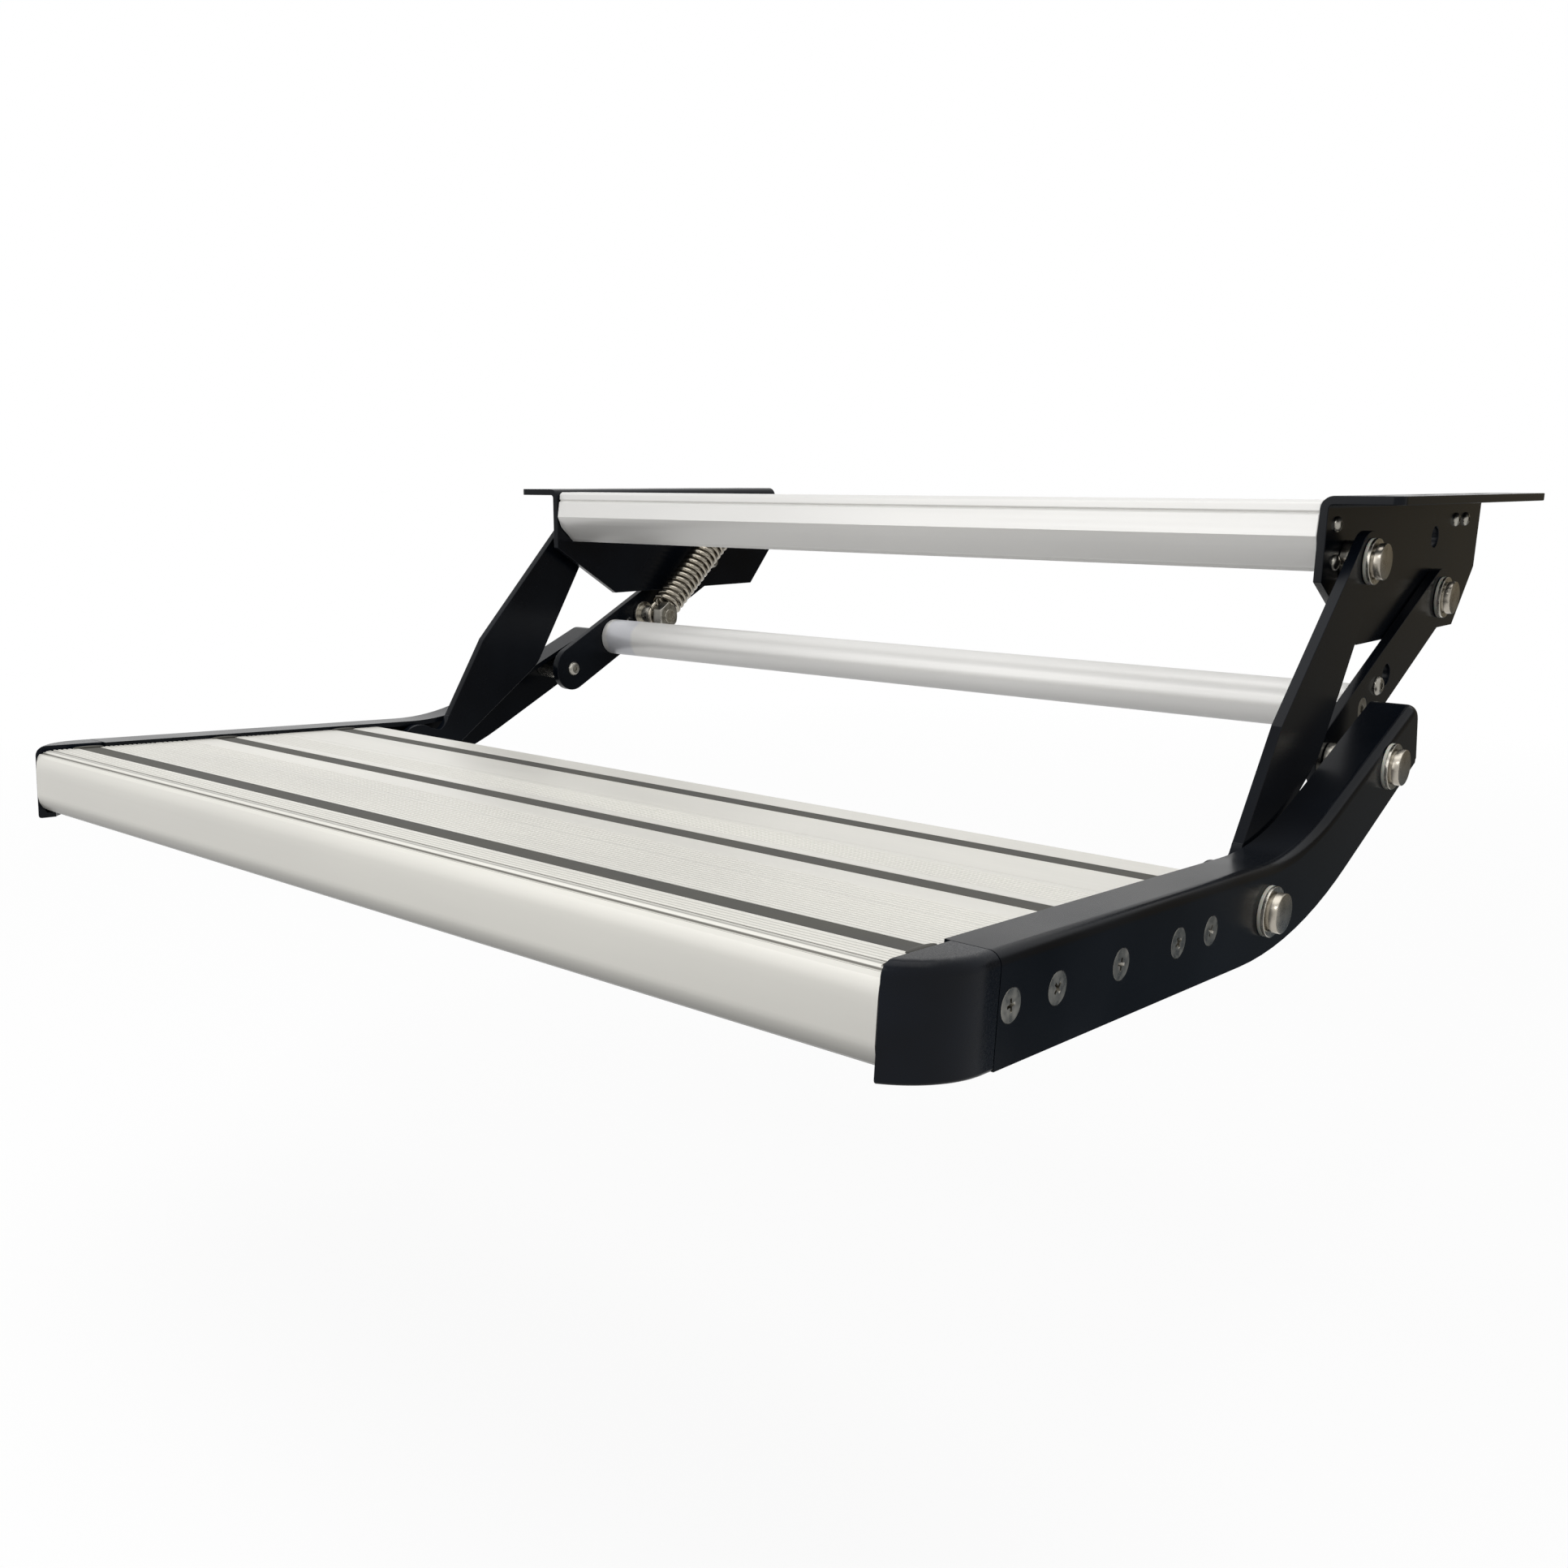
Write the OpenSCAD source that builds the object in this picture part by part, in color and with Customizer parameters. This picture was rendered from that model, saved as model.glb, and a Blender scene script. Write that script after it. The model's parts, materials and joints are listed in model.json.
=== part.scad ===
// Fold-away entry step: two top brackets, a four-bar linkage and a ribbed tread between two pressed rails.
// Millimetres. +Z is up, +X is right, -Y is the front, where the foot comes from.
// Origin: middle of the four mounting bolts, in the plane of the bracket tops.

/* [Overall] */
// width over the outer faces of the two tread rails
overall_width = 592; // [560:1:620]
// bracket plates, inwards from the outer faces of the rails
bracket_inset = 34; // [34:0.25:36]
// how far the tread leans, front edge high
tread_tilt = 3.35; // [2.5:0.05:4]

/* [Top brackets] */
// length of each bracket, front to back
bracket_length = 232; // [226:1:240]
// thickness of the folded bracket plate
plate_t = 4; // [3:0.5:4]
// width of the top flange, from the inner face of the plate
flange_w = 37; // [32:1:42]
// height of the plate at the front
front_drop = 39; // [36:1:42]
// height of the plate in the middle
full_drop = 72; // [70:1:76]
// outer radius of the fold between plate and flange
fold_r = 6; // [5:0.5:7]
// mounting bolt hole, radius
mount_hole_r = 4.5; // [4:0.25:5]
// mounting bolts, outwards from the bracket plate
mount_out = 17; // [15:0.5:20]
// mounting bolts, front to back
mount_span_y = 190; // [180:1:196]
// adjusting slot, overall length
slot_length = 26; // [20:1:30]
// adjusting slots, distance from one to the next
slot_pitch = 42; // [38:1:45]

/* [Pivots] */
// front top pivot, back from the bracket front
pivot_a_y = 28; // [27:0.5:30]
// front top pivot, height
pivot_a_z = -30; // [-31:0.5:-29]
// rear top pivot, back from the bracket front
pivot_b_y = 158; // [156:0.5:160]
// rear top pivot, height
pivot_b_z = -54; // [-55:0.5:-53]
// front tread pivot, back from the rear edge of the planks
pivot_c_back = 28; // [26:0.5:30]
// front tread pivot, from the tread top
pivot_c_z = -17; // [-18:0.5:-16]
// rear tread pivot, back from the rear edge of the planks
pivot_d_back = 157; // [156:0.5:158]
// rear tread pivot, from the tread top
pivot_d_z = 33; // [32:0.5:33.5]
// pin shank, radius
pin_r = 6; // [5.5:0.25:6.5]
// stepped-down end of the pin, radius
neck_r = 4; // [3.5:0.25:4.5]
// running clearance round a pin, on the radius
pin_fit = 0.05; // [0.03:0.01:0.08]
// pin head, radius
pin_head_r = 8.5; // [8:0.25:9.5]
// pin head, thickness
pin_head_t = 4.2; // [3.6:0.2:5]
// washer, radius
washer_r = 10.75; // [10:0.25:11]
// washer, thickness
washer_t = 1.5; // [1:0.1:1.6]
// gap between faces that slide past each other
slide_gap = 0.3; // [0.2:0.05:0.4]

/* [Links] */
// front link, its lower pivot in front of the upper one
link_reach = 143.62; // [143.4:0.02:143.8]
// front link, its lower pivot below the upper one
link_drop = 135.36; // [135.2:0.02:135.5]
// thickness of the links
link_t = 5; // [4.5:0.25:5]
// gap between bracket and rear link
rear_link_gap = 0.6; // [0.5:0.1:0.8]
// gap between the planes of the rear and front links
link_gap = 0.8; // [0.6:0.1:0.9]
// width of the rear link
rear_link_w = 30; // [28:0.5:32]
// front link, radius round its top pivot
front_link_ra = 14; // [13:0.5:15]
// front link, radius round its lower pivot
front_link_rc = 17; // [16:0.5:18]
// cross tube, distance from the rear tread pivot
tube_pos = 44.8; // [43:0.2:45]
// cross tube, outer radius
tube_r = 12.2; // [11:0.2:12.4]
// cross tube, wall
tube_wall = 2; // [1.5:0.25:3]
// spring post, distance from the rear tread pivot
post_pos = 77.6; // [77:0.2:79]
// spare screw, distance from the rear tread pivot
spare_pos = 64.5; // [63.5:0.25:65]
// spring anchor, distance above the rear top pivot
anchor_up = 31.5; // [30:0.5:34]

/* [Tread] */
// depth of the tread planks together
tread_depth = 220; // [216:1:222]
// depth of the nose plank
nose_plank_w = 69; // [68.8:0.1:69.2]
// depth of the rear plank
rear_plank_w = 69; // [68.5:0.1:69.5]
// thickness of the planks
plank_t = 26; // [24:0.5:28]
// rubber strip, width
strip_w = 12; // [10:0.5:13]
// rubber strip, first one, back from the nose
strip_1 = 21.5; // [21:0.25:22]
// rubber strip, last one, its front edge from the rear edge of the planks
strip_3_back = 34; // [30:0.5:36]
// grip ribs, distance from one to the next
rib_pitch = 2.75; // [2.6:0.05:3.2]
// height of the nose
nose_h = 33; // [32:0.5:34]

/* [Rails] */
// thickness of the rail plate
rail_t = 3; // [2.5:0.25:3]
// top of the rail above the tread
rail_top = 2; // [1.8:0.1:2.2]
// bottom of the rail below the tread
rail_bottom = -37; // [-38:0.5:-36]
// width of the rail's top flange
rail_flange_w = 21.5; // [21:0.1:21.8]
// rise of the arm at the back, degrees
arm_angle = 25.2; // [25:0.1:25.4]
// radius of the bend between rail and arm
arm_bend_r = 164.6; // [160:0.2:168]
// radius of the corner at the top of the arm
arm_corner_r = 8; // [7:0.25:10]

/* [Return spring] */
// wire, radius
wire_r = 1.75; // [1.5:0.05:1.8]
// coil, radius to the middle of the wire
coil_r = 8.9; // [8.5:0.1:9]
// rise for each turn
coil_pitch = 4.33; // [4.2:0.01:4.5]

/* [Hidden] */
$fn = 48;
row_y = bracket_length / 2;
out_x = overall_width / 2;
plate_x = out_x - bracket_inset;
in_x = plate_x - plate_t;
flange_x = in_x + flange_w;
mount_x = plate_x + mount_out;
l2a = plate_x + rear_link_gap;
l2b = l2a + link_t;
l1a = l2b + link_gap;
l1b = l1a + link_t;
rail_x = out_x - rail_t;
rail_inner_x = out_x - rail_flange_w;
end_head_r = 4.75;
end_head_t = 2.75;
seam_1 = nose_plank_w;
seam_2 = tread_depth - rear_plank_w;
pa = [pivot_a_y, pivot_a_z];
pb = [pivot_b_y, pivot_b_z];
pc = pa - [link_reach, link_drop];
ct = [tread_depth + pivot_c_back, pivot_c_z];
dt = [tread_depth + pivot_d_back, pivot_d_z];
// tread frame: origin at the nose, top plane, set so that the front tread pivot falls where the front link holds it
tread_y = pc[0] - ct[0] * cos(tread_tilt) - ct[1] * sin(tread_tilt);
tread_z = pc[1] + ct[0] * sin(tread_tilt) - ct[1] * cos(tread_tilt);
function down(p) = [tread_y + p[0] * cos(tread_tilt) + p[1] * sin(tread_tilt),
                    tread_z - p[0] * sin(tread_tilt) + p[1] * cos(tread_tilt)];
pd = down(dt);
function unit(v) = v / norm(v);
function turned(v) = [-v[1], v[0]];
function towards(p, q, d) = p + unit(q - p) * d;
tube_c = towards(pd, pb, tube_pos);
post_c = towards(pd, pb, post_pos);
spare_c = towards(pd, pb, spare_pos) + 1.5 * turned(unit(pb - pd));
// spring anchor: on the line that halves the swing of the post, so that the spring is as long at both ends
fold_swing = 133.5;
swing_mid = atan2(pd[1] - pb[1], pd[0] - pb[0]) + fold_swing / 2;
anchor = pb - anchor_up * [cos(swing_mid), sin(swing_mid)];
echo(pivot_c = pc, pivot_d = pd, anchor = anchor, post = post_c, tube = tube_c);

// frames and small helpers
module mounted() translate([0, -row_y, 0]) children();
module treaded() mounted() translate([0, tread_y, tread_z]) rotate([-tread_tilt, 0, 0]) children();
module mirrored() mirror([1, 0, 0]) children();
module both() {
  children();
  mirrored() children();
}
// flat shape in front-to-back and height, given a thickness from x0 to x1
module slab(x0, x1) translate([x0, 0, 0]) rotate([90, 0, 90]) linear_extrude(x1 - x0) children();
// flat shape in width and height, run from y0 to y1
module run(y0, y1) translate([0, y1, 0]) rotate([90, 0, 0]) linear_extrude(y1 - y0) children();
module rod(p, x0, x1, r) translate([x0, p[0], p[1]]) rotate([0, 90, 0]) cylinder(h = x1 - x0, r = r);
module ring(p, x0, x1, ro, ri) difference() {
  rod(p, x0, x1, ro);
  rod(p, x0 - 1, x1 + 1, ri);
}
// domed head with a hexagon socket, base at x, pointing along dir (1 outwards, -1 inwards)
module dome(p, x, dir, r, h, hex) translate([x, p[0], p[1]]) rotate([0, 90 * dir, 0]) difference() {
  rotate_extrude() polygon([[0, 0], [r, 0], [r, h * 0.3], [r * 0.86, h * 0.72], [r * 0.6, h], [0, h]]);
  translate([0, 0, h * 0.4]) cylinder(h = h, r = hex / 2 / cos(30), $fn = 6);
}
module hex_nut(p, x0, x1, af, hole) difference() {
  translate([x0, p[0], p[1]]) rotate([0, 90, 0]) cylinder(h = x1 - x0, r = af / 2 / cos(30), $fn = 6);
  rod(p, x0 - 1, x1 + 1, hole);
}
module chamfered_nut(p, x0, x1, af, hole) difference() {
  translate([x0, p[0], p[1]]) rotate([0, 90, 0]) intersection() {
    cylinder(h = x1 - x0, r = af / 2 / cos(30), $fn = 6);
    cylinder(h = x1 - x0, r1 = af * 0.475, r2 = af * 0.475 + (x1 - x0) * 1.7321);
    cylinder(h = x1 - x0, r1 = af * 0.475 + (x1 - x0) * 1.7321, r2 = af * 0.475);
  }
  rod(p, x0 - 1, x1 + 1, hole);
}
// turned head with a narrow groove next to the washer
module pin_head(p, x) {
  rod(p, x, x + 1, pin_head_r - 1);
  rod(p, x + 0.9, x + pin_head_t - 0.4, pin_head_r);
  translate([x + pin_head_t - 0.4, p[0], p[1]]) rotate([0, 90, 0])
    cylinder(h = 0.4, r1 = pin_head_r, r2 = pin_head_r - 0.4);
}
module quarter_ring(ro, ri) intersection() {
  difference() {
    circle(r = ro);
    circle(r = ri);
  }
  square(ro);
}

// top brackets
module bracket_section() {
  translate([in_x + fold_r, -plate_t]) square([flange_x - in_x - fold_r, plate_t]);
  translate([in_x, -full_drop]) square([plate_t, full_drop - fold_r]);
  translate([in_x + fold_r, -fold_r]) rotate(90) quarter_ring(fold_r, fold_r - plate_t);
}
module flange_corner() difference() {
  translate([flange_x - 5, -1, -plate_t - 1]) cube([6, 6, plate_t + 2]);
  translate([flange_x - 5, 5, -plate_t - 2]) cylinder(h = plate_t + 4, r = 5);
}
module slot_cut(y) translate([mount_x, y, -plate_t - 1]) linear_extrude(plate_t + 2) {
  square([2 * mount_hole_r, slot_length - 2 * mount_hole_r], center = true);
  for (s = [-1, 1]) translate([0, s * (slot_length / 2 - mount_hole_r)]) circle(r = mount_hole_r);
}
beam_screw_1 = [12.6, -13];
beam_screw_2 = [14, -30.5];
bar_screw_1 = [188, -14];
bar_screw_2 = [205, -14];
module bracket() mounted() difference() {
  intersection() {
    run(0, bracket_length) bracket_section();
    slab(in_x - 1, flange_x + 1) polygon([[0, 1], [bracket_length, 1], [bracket_length - 1, -41],
      [203, -full_drop], [55, -full_drop], [0, -front_drop]]);
  }
  flange_corner();
  translate([0, bracket_length, 0]) mirror([0, 1, 0]) flange_corner();
  for (s = [-1, 1]) translate([mount_x, row_y + s * mount_span_y / 2, -plate_t - 1])
    cylinder(h = plate_t + 2, r = mount_hole_r);
  for (k = [-1 : 1]) slot_cut(row_y + k * slot_pitch);
  rod(pa, in_x - 1, plate_x + 1, neck_r + pin_fit);
  rod(pb, in_x - 1, plate_x + 1, neck_r + pin_fit);
  rod(anchor, in_x - 1, plate_x + 1, 5.5);
  for (p = [beam_screw_1, beam_screw_2]) rod(p, in_x - 1, plate_x + 1, 2.15);
  for (p = [bar_screw_1, bar_screw_2]) rod(p, in_x - 1, plate_x + 1, 2.15);
}
module left_bracket() color("#1b1e24") mirrored() bracket();
module right_bracket() color("#1b1e24") bracket();

// front beam: hollow extrusion with two screw ports
module port(p, web) difference() {
  union() {
    translate(p) circle(r = 3.5);
    translate([p[0] - 0.8, p[1]]) square([1.6, web]);
  }
  translate(p) circle(r = 1.9);
}
module beam_section() {
  difference() {
    polygon([[4.5, -2], [2.4, -3.4], [2, -6.8], [3, -7.6], [1.6, -8.4], [0, -18.2], [3, -25.2], [14, -34.9],
      [22.6, -34.9], [22.6, -2]]);
    polygon([[6, -4], [4.5, -5], [4.1, -7], [5, -7.8], [3.8, -9.2], [2.1, -18], [4.9, -24.2], [14.8, -32.9],
      [20.6, -32.9], [20.6, -4]]);
    translate(beam_screw_2) circle(r = 1.9);
  }
  port(beam_screw_1, 10.2);
  difference() {
    translate(beam_screw_2) circle(r = 3.5);
    translate(beam_screw_2) circle(r = 1.9);
  }
}
module front_beam() color("#c9c9c4") mounted() slab(-in_x + slide_gap, in_x - slide_gap) beam_section();
small_screw_len = 18;
module small_screw(p, len = small_screw_len) {
  dome(p, plate_x, 1, 3.7, 2.3, 2.5);
  rod(p, plate_x - len, plate_x + 0.01, 1.8);
}
module beam_screws() color("#8d8c88") mounted() both() {
  small_screw(beam_screw_1);
  small_screw(beam_screw_2);
}
// rear cross bar: flat hollow bar between the brackets, hidden behind the beam
module bar_section() {
  difference() {
    translate([181, -20.5]) square([31, 13]);
    translate([182.8, -18.7]) square([27.4, 9.4]);
  }
  for (p = [bar_screw_1, bar_screw_2]) difference() {
    union() {
      translate(p) circle(r = 3.2);
      translate([p[0] - 0.8, -20]) square([1.6, 12]);
    }
    translate(p) circle(r = 1.9);
  }
}
module rear_crossbar() color("#c9c9c4") mounted() slab(-in_x + slide_gap, in_x - slide_gap) bar_section();
module crossbar_screws() color("#8d8c88") mounted() both() {
  small_screw(bar_screw_1);
  small_screw(bar_screw_2);
}

// top pins: head outside, shank through the link, neck through the bracket, closed by a screw inside
module top_pin(p, x_head) difference() {
  union() {
    pin_head(p, x_head);
    rod(p, plate_x + 0.1, x_head + 0.01, pin_r);
    rod(p, in_x + 0.1, plate_x + 0.2, neck_r);
  }
  rod(p, in_x - 1, in_x + 14, 2.5);
}
a_washer_x = l1b + slide_gap;
a_head_x = a_washer_x + 2 * washer_t;
b_washer_x = l2b + slide_gap;
b_head_x = b_washer_x + 2 * washer_t;
module front_top_pins() color("#a19e98") mounted() both() top_pin(pa, a_head_x);
module front_top_spacers() color("#b4b2ad") mounted() both()
  ring(pa, plate_x + slide_gap, l1a - slide_gap, 9.5, pin_r + 0.1);
module front_top_slip_washers() color("#d4d2c8") mounted() both()
  ring(pa, a_washer_x, a_washer_x + washer_t, washer_r, pin_r + 0.1);
module front_top_washers() color("#a8a6a1") mounted() both()
  ring(pa, a_washer_x + washer_t, a_head_x, washer_r, pin_r + 0.1);
module rear_top_pins() color("#a19e98") mounted() both() top_pin(pb, b_head_x);
module rear_top_slip_washers() color("#d4d2c8") mounted() both()
  ring(pb, b_washer_x, b_washer_x + washer_t, washer_r, pin_r + 0.1);
module rear_top_washers() color("#a8a6a1") mounted() both()
  ring(pb, b_washer_x + washer_t, b_head_x, washer_r, pin_r + 0.1);
module end_screw(p, x, len) {
  dome(p, x, -1, end_head_r, end_head_t, 3);
  rod(p, x - 0.01, x + len, 2.4);
}
module top_pin_screws() color("#8d8c88") mounted() both() {
  end_screw(pa, in_x, 12);
  end_screw(pb, in_x, 12);
}
// the spring leans a little: its plane at the anchor, and at the post
spring_hi_x = in_x - 20;
spring_lo_x = in_x - 12;
module spring_anchor() color("#a19e98") mounted() mirrored() {
  rod(anchor, plate_x, plate_x + 3, 8);
  rod(anchor, spring_hi_x + 5, plate_x + 0.01, 5.5 - pin_fit);
  rod(anchor, spring_hi_x - 5, spring_hi_x + 5.01, 4);
  rod(anchor, spring_hi_x - 7, spring_hi_x - 4.99, 5.8);
}

// front link: bent plate from the front top pivot to the front tread pivot
knee = pc + [24.6, 20.4];
function arc(c, r, a0, a1, n) = [for (i = [0 : n]) c + r * [cos(a0 + (a1 - a0) * i / n), sin(a0 + (a1 - a0) * i / n)]];
module front_link_shape() difference() {
  union() {
    translate(pa) circle(r = front_link_ra);
    translate(pc) circle(r = front_link_rc);
    polygon(concat([pa + front_link_ra * [-0.7071, 0.7071]],
      arc(pa - [76.5, 73], 12.5, 155, 157, 1),
      [knee], arc(pc + [10.1, 25.4], 15, -20, -62, 5),
      [pc + front_link_rc * [-0.28, 0.96], pc, pc + front_link_rc * [0.56, -0.8285]],
      arc(pa - [61, 67.6], 28.5, -56, -33, 5),
      [pa + front_link_ra * [0.8387, -0.5446], pa]));
  }
  translate(pa) circle(r = pin_r + pin_fit);
  translate(pc) circle(r = neck_r + pin_fit);
}
module left_front_link() color("#1b1e24") mounted() mirrored() slab(l1a, l1b) front_link_shape();
module right_front_link() color("#1b1e24") mounted() slab(l1a, l1b) front_link_shape();

// rear link: straight bar from the rear top pivot to the rear tread pivot
module rear_link(post_hole_r = 5.5) difference() {
  slab(l2a, l2b) {
    translate(pb) circle(r = rear_link_w / 2);
    translate(pd) circle(r = rear_link_w / 2);
    polygon([pb + turned(unit(pd - pb)) * rear_link_w / 2, pb - turned(unit(pd - pb)) * rear_link_w / 2,
      pd - turned(unit(pd - pb)) * rear_link_w / 2, pd + turned(unit(pd - pb)) * rear_link_w / 2]);
  }
  rod(pb, l2a - 1, l2b + 1, pin_r + pin_fit);
  rod(pd, l2a - 1, l2b + 1, neck_r + pin_fit);
  rod(tube_c, l2a - 1, l2b + 1, 3.2);
  translate([l2b - 2.9, tube_c[0], tube_c[1]]) rotate([0, 90, 0]) cylinder(h = 3, r1 = 3.15, r2 = 6.15);
  rod(post_c, l2a - 1, l2b + 1, post_hole_r);
  rod(spare_c, l2a - 1, l2b + 1, 2.65);
}
module left_rear_link() color("#1b1e24") mounted() mirrored() rear_link(5.1);
module right_rear_link() color("#1b1e24") mounted() rear_link();
tube_end = l2a - slide_gap;
plug_len = 20;
module cross_tube() color("#bdbbb5") mounted() ring(tube_c, -tube_end, tube_end, tube_r, tube_r - tube_wall);
module tube_plugs() color("#77756f") mounted() both()
  ring(tube_c, tube_end - plug_len, tube_end - 0.3, tube_r - tube_wall - 0.05, 3);
module tube_screws() color("#8d8c88") mounted() both() {
  difference() {
    translate([l2b - 2.9, tube_c[0], tube_c[1]]) rotate([0, 90, 0]) cylinder(h = 2.8, r1 = 3, r2 = 5.8);
    translate([l2b - 1.8, tube_c[0], tube_c[1]]) rotate([0, 90, 0]) cylinder(h = 3, r = 2 / cos(30), $fn = 6);
  }
  rod(tube_c, tube_end - 16, l2b - 2.89, 2.9);
}
module rear_pin_ends() color("#a19e98") mounted() both() difference() {
  rod(pd, l2a + 0.1, l2b - 0.05, neck_r);
  rod(pd, l2a - 1, l2b - 1, 2.5);
}
module rear_pin_screws() color("#8d8c88") mounted() both() end_screw(pd, l2a, 3.5);
module post_bolt() color("#a19e98") mounted() mirrored() {
  translate([l2b, post_c[0], post_c[1]]) rotate([0, 90, 0]) cylinder(h = 4, r = 8.5 / cos(30), $fn = 6);
  rod(post_c, spring_lo_x - 12, l2b + 0.01, 5);
}
sleeve_r = 6.3;
module post_sleeve() color("#b4b2ad") mounted() mirrored() difference() {
  union() {
    rod(post_c, spring_lo_x - 2.7, l2a - slide_gap, sleeve_r);
    rod(post_c, l2a - slide_gap - 2.2, l2a - slide_gap, 9);
  }
  rod(post_c, spring_lo_x - 10, l2a + 1, 5.1);
}
module post_nut() color("#8d8c88") mounted() mirrored()
  chamfered_nut(post_c, spring_lo_x - 11, spring_lo_x - 3, 17, 5.1);
module spare_screw() color("#8d8c88") mounted() {
  dome(spare_c, l2b, 1, end_head_r, end_head_t, 3);
  rod(spare_c, l2a - 5.2, l2b + 0.01, 2.4);
}
module spare_nut() color("#8d8c88") mounted() hex_nut(spare_c, l2a - 4.3, l2a, 8, 2.5);

// tread planks: hollow ribbed extrusions, screw ports where the rail screws enter
function ribs(y0, y1) = let (n = max(1, round((y1 - y0) / rib_pitch))) [for (i = [0 : n - 1])
  let (y = y0 + (y1 - y0) * i / n) each [[y, 0], [y + 0.5, -0.6], [y + 1.1, -0.6], [y + 1.6, 0]]];
function back(v) = [for (i = [len(v) - 1 : -1 : 0]) v[i]];
function groove(y) = [[y - 0.1, 0], [y - 0.1, -2.8], [y + strip_w + 0.1, -2.8], [y + strip_w + 0.1, 0]];
strip_3 = tread_depth - strip_3_back;
strip_2 = (strip_1 + strip_3) / 2;
port_z = -16.7;
rail_screw_y = [seam_1 - 23.5, seam_1 + 5.9, seam_2 - 31.5, seam_2 + 14, tread_depth - 26.5];
module ports(ys) for (y = ys) {
  translate([y, port_z]) circle(r = 5);
  translate([y - 1, -plank_t]) square([2, plank_t]);
}
module port_holes(ys) for (y = ys) translate([y, port_z]) circle(r = 3);
nose_edge = [[0.3, -6.4], [0, -9.9], [0, -25], [0.8, -28.5], [2.6, -31.3], [5.5, -nose_h], [22, -nose_h],
  [25, -plank_t]];
module nose_section() difference() {
  polygon(concat([[seam_1 - 0.15, 0]], back(ribs(strip_1 + 14.5, seam_1 - 0.5)),
    back(groove(strip_1)), back(ribs(9.6, strip_1 - 0.9)),
    [[8.6, 0], [8.2, -1], [7.2, -1], [6.8, -0.2], [4.6, -0.6], [3.8, -1.9], [2.9, -2.2], [2.2, -2], [1, -3.6]],
    nose_edge, [[seam_1 - 0.15, -plank_t]]));
  polygon([[4.5, -5.2], [2.4, -9], [2.2, -25.5], [4, -29.3], [6.5, -30.8], [21, -30.8], [24, -23.8],
    [34, -23.8], [34, -5.2]]);
  difference() {
    translate([36.2, -plank_t + 2.2]) square([seam_1 - 38.6, plank_t - 5]);
    ports([rail_screw_y[0]]);
  }
  port_holes([rail_screw_y[0]]);
}
module plank_hollow(y0, y1, ys) {
  difference() {
    translate([y0 + 2.3, -plank_t + 2.2]) square([y1 - y0 - 4.6, plank_t - 7.4]);
    ports(ys);
  }
  port_holes(ys);
}
module middle_section() difference() {
  polygon(concat([[seam_1 + 0.15, -plank_t], [seam_1 + 0.15, 0]], ribs(seam_1 + 1.5, strip_2 - 15.75), groove(strip_2),
    ribs(strip_2 + 20.25, seam_2 - 4), [[seam_2 - 0.15, 0], [seam_2 - 0.15, -plank_t]]));
  plank_hollow(seam_1, seam_2, [rail_screw_y[1], rail_screw_y[2]]);
}
module rear_section() difference() {
  polygon(concat([[seam_2 + 0.15, -plank_t], [seam_2 + 0.15, 0]], groove(strip_3),
    [[tread_depth - 2, 0], [tread_depth - 0.6, -0.6], [tread_depth, -2], [tread_depth, -plank_t + 1.5],
    [tread_depth - 1.5, -plank_t]]));
  plank_hollow(seam_2, tread_depth, [rail_screw_y[3], rail_screw_y[4]]);
}
plank_end = rail_x - slide_gap;
// the rail flange lies over the plank ends in a shallow step, deeper under its fold
module end_step() both() {
  translate([rail_inner_x - 0.3, -2, -1.3]) cube([40, tread_depth + 20, 5]);
  translate([out_x - 5.3, -2, -3.4]) cube([20, tread_depth + 20, 5]);
}
cap_seam_x = rail_inner_x + 2.5;
module nose_plank() color("#cfcdc5") treaded() difference() {
  slab(-plank_end, plank_end) nose_section();
  end_step();
  both() translate([cap_seam_x - 0.3, -2, -40]) cube([40, rail_front + 2.2, 50]);
}
module middle_plank() color("#cfcdc5") treaded() difference() {
  slab(-plank_end, plank_end) middle_section();
  end_step();
}
module rear_plank() color("#cfcdc5") treaded() difference() {
  slab(-plank_end, plank_end) rear_section();
  end_step();
}
module strip(y) treaded() slab(-rail_inner_x + 0.4, rail_inner_x - 0.4)
  polygon([[y, -2.7], [y + strip_w, -2.7], [y + strip_w, -0.4], [y + strip_w - 0.4, 0], [y + 0.4, 0], [y, -0.4]]);
module nose_strip() color("#55554f") strip(strip_1);
module middle_strip() color("#55554f") strip(strip_2);
module rear_strip() color("#55554f") strip(strip_3);

// side rails: pressed plates with a rolled top flange that rises into the arm
rail_front = 37.8;
arm_start = tread_depth + 25;
arm_end = [tread_depth + 192, 63.6];
// section of the flange and its fold; set_in draws it in a little where it dips into its neighbours
module crown(set_in = 0, leg = 0) {
  translate([rail_inner_x + set_in, -rail_t + set_in])
    square([out_x - 5 - rail_inner_x - set_in + 0.01, rail_t - 2 * set_in]);
  translate([out_x - 5, -5]) quarter_ring(5 - set_in, 5 - rail_t + set_in);
  if (leg > 0) translate([rail_x + set_in, -5 - leg]) square([rail_t - 2 * set_in, leg + 0.01]);
}
bend_c = [arm_start, rail_top + arm_bend_r];
bend_end = bend_c + arm_bend_r * [sin(arm_angle), -cos(arm_angle)];
arm_len = norm(arm_end - bend_end);
tip = bend_end + arm_len * [cos(arm_angle), sin(arm_angle)];
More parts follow.
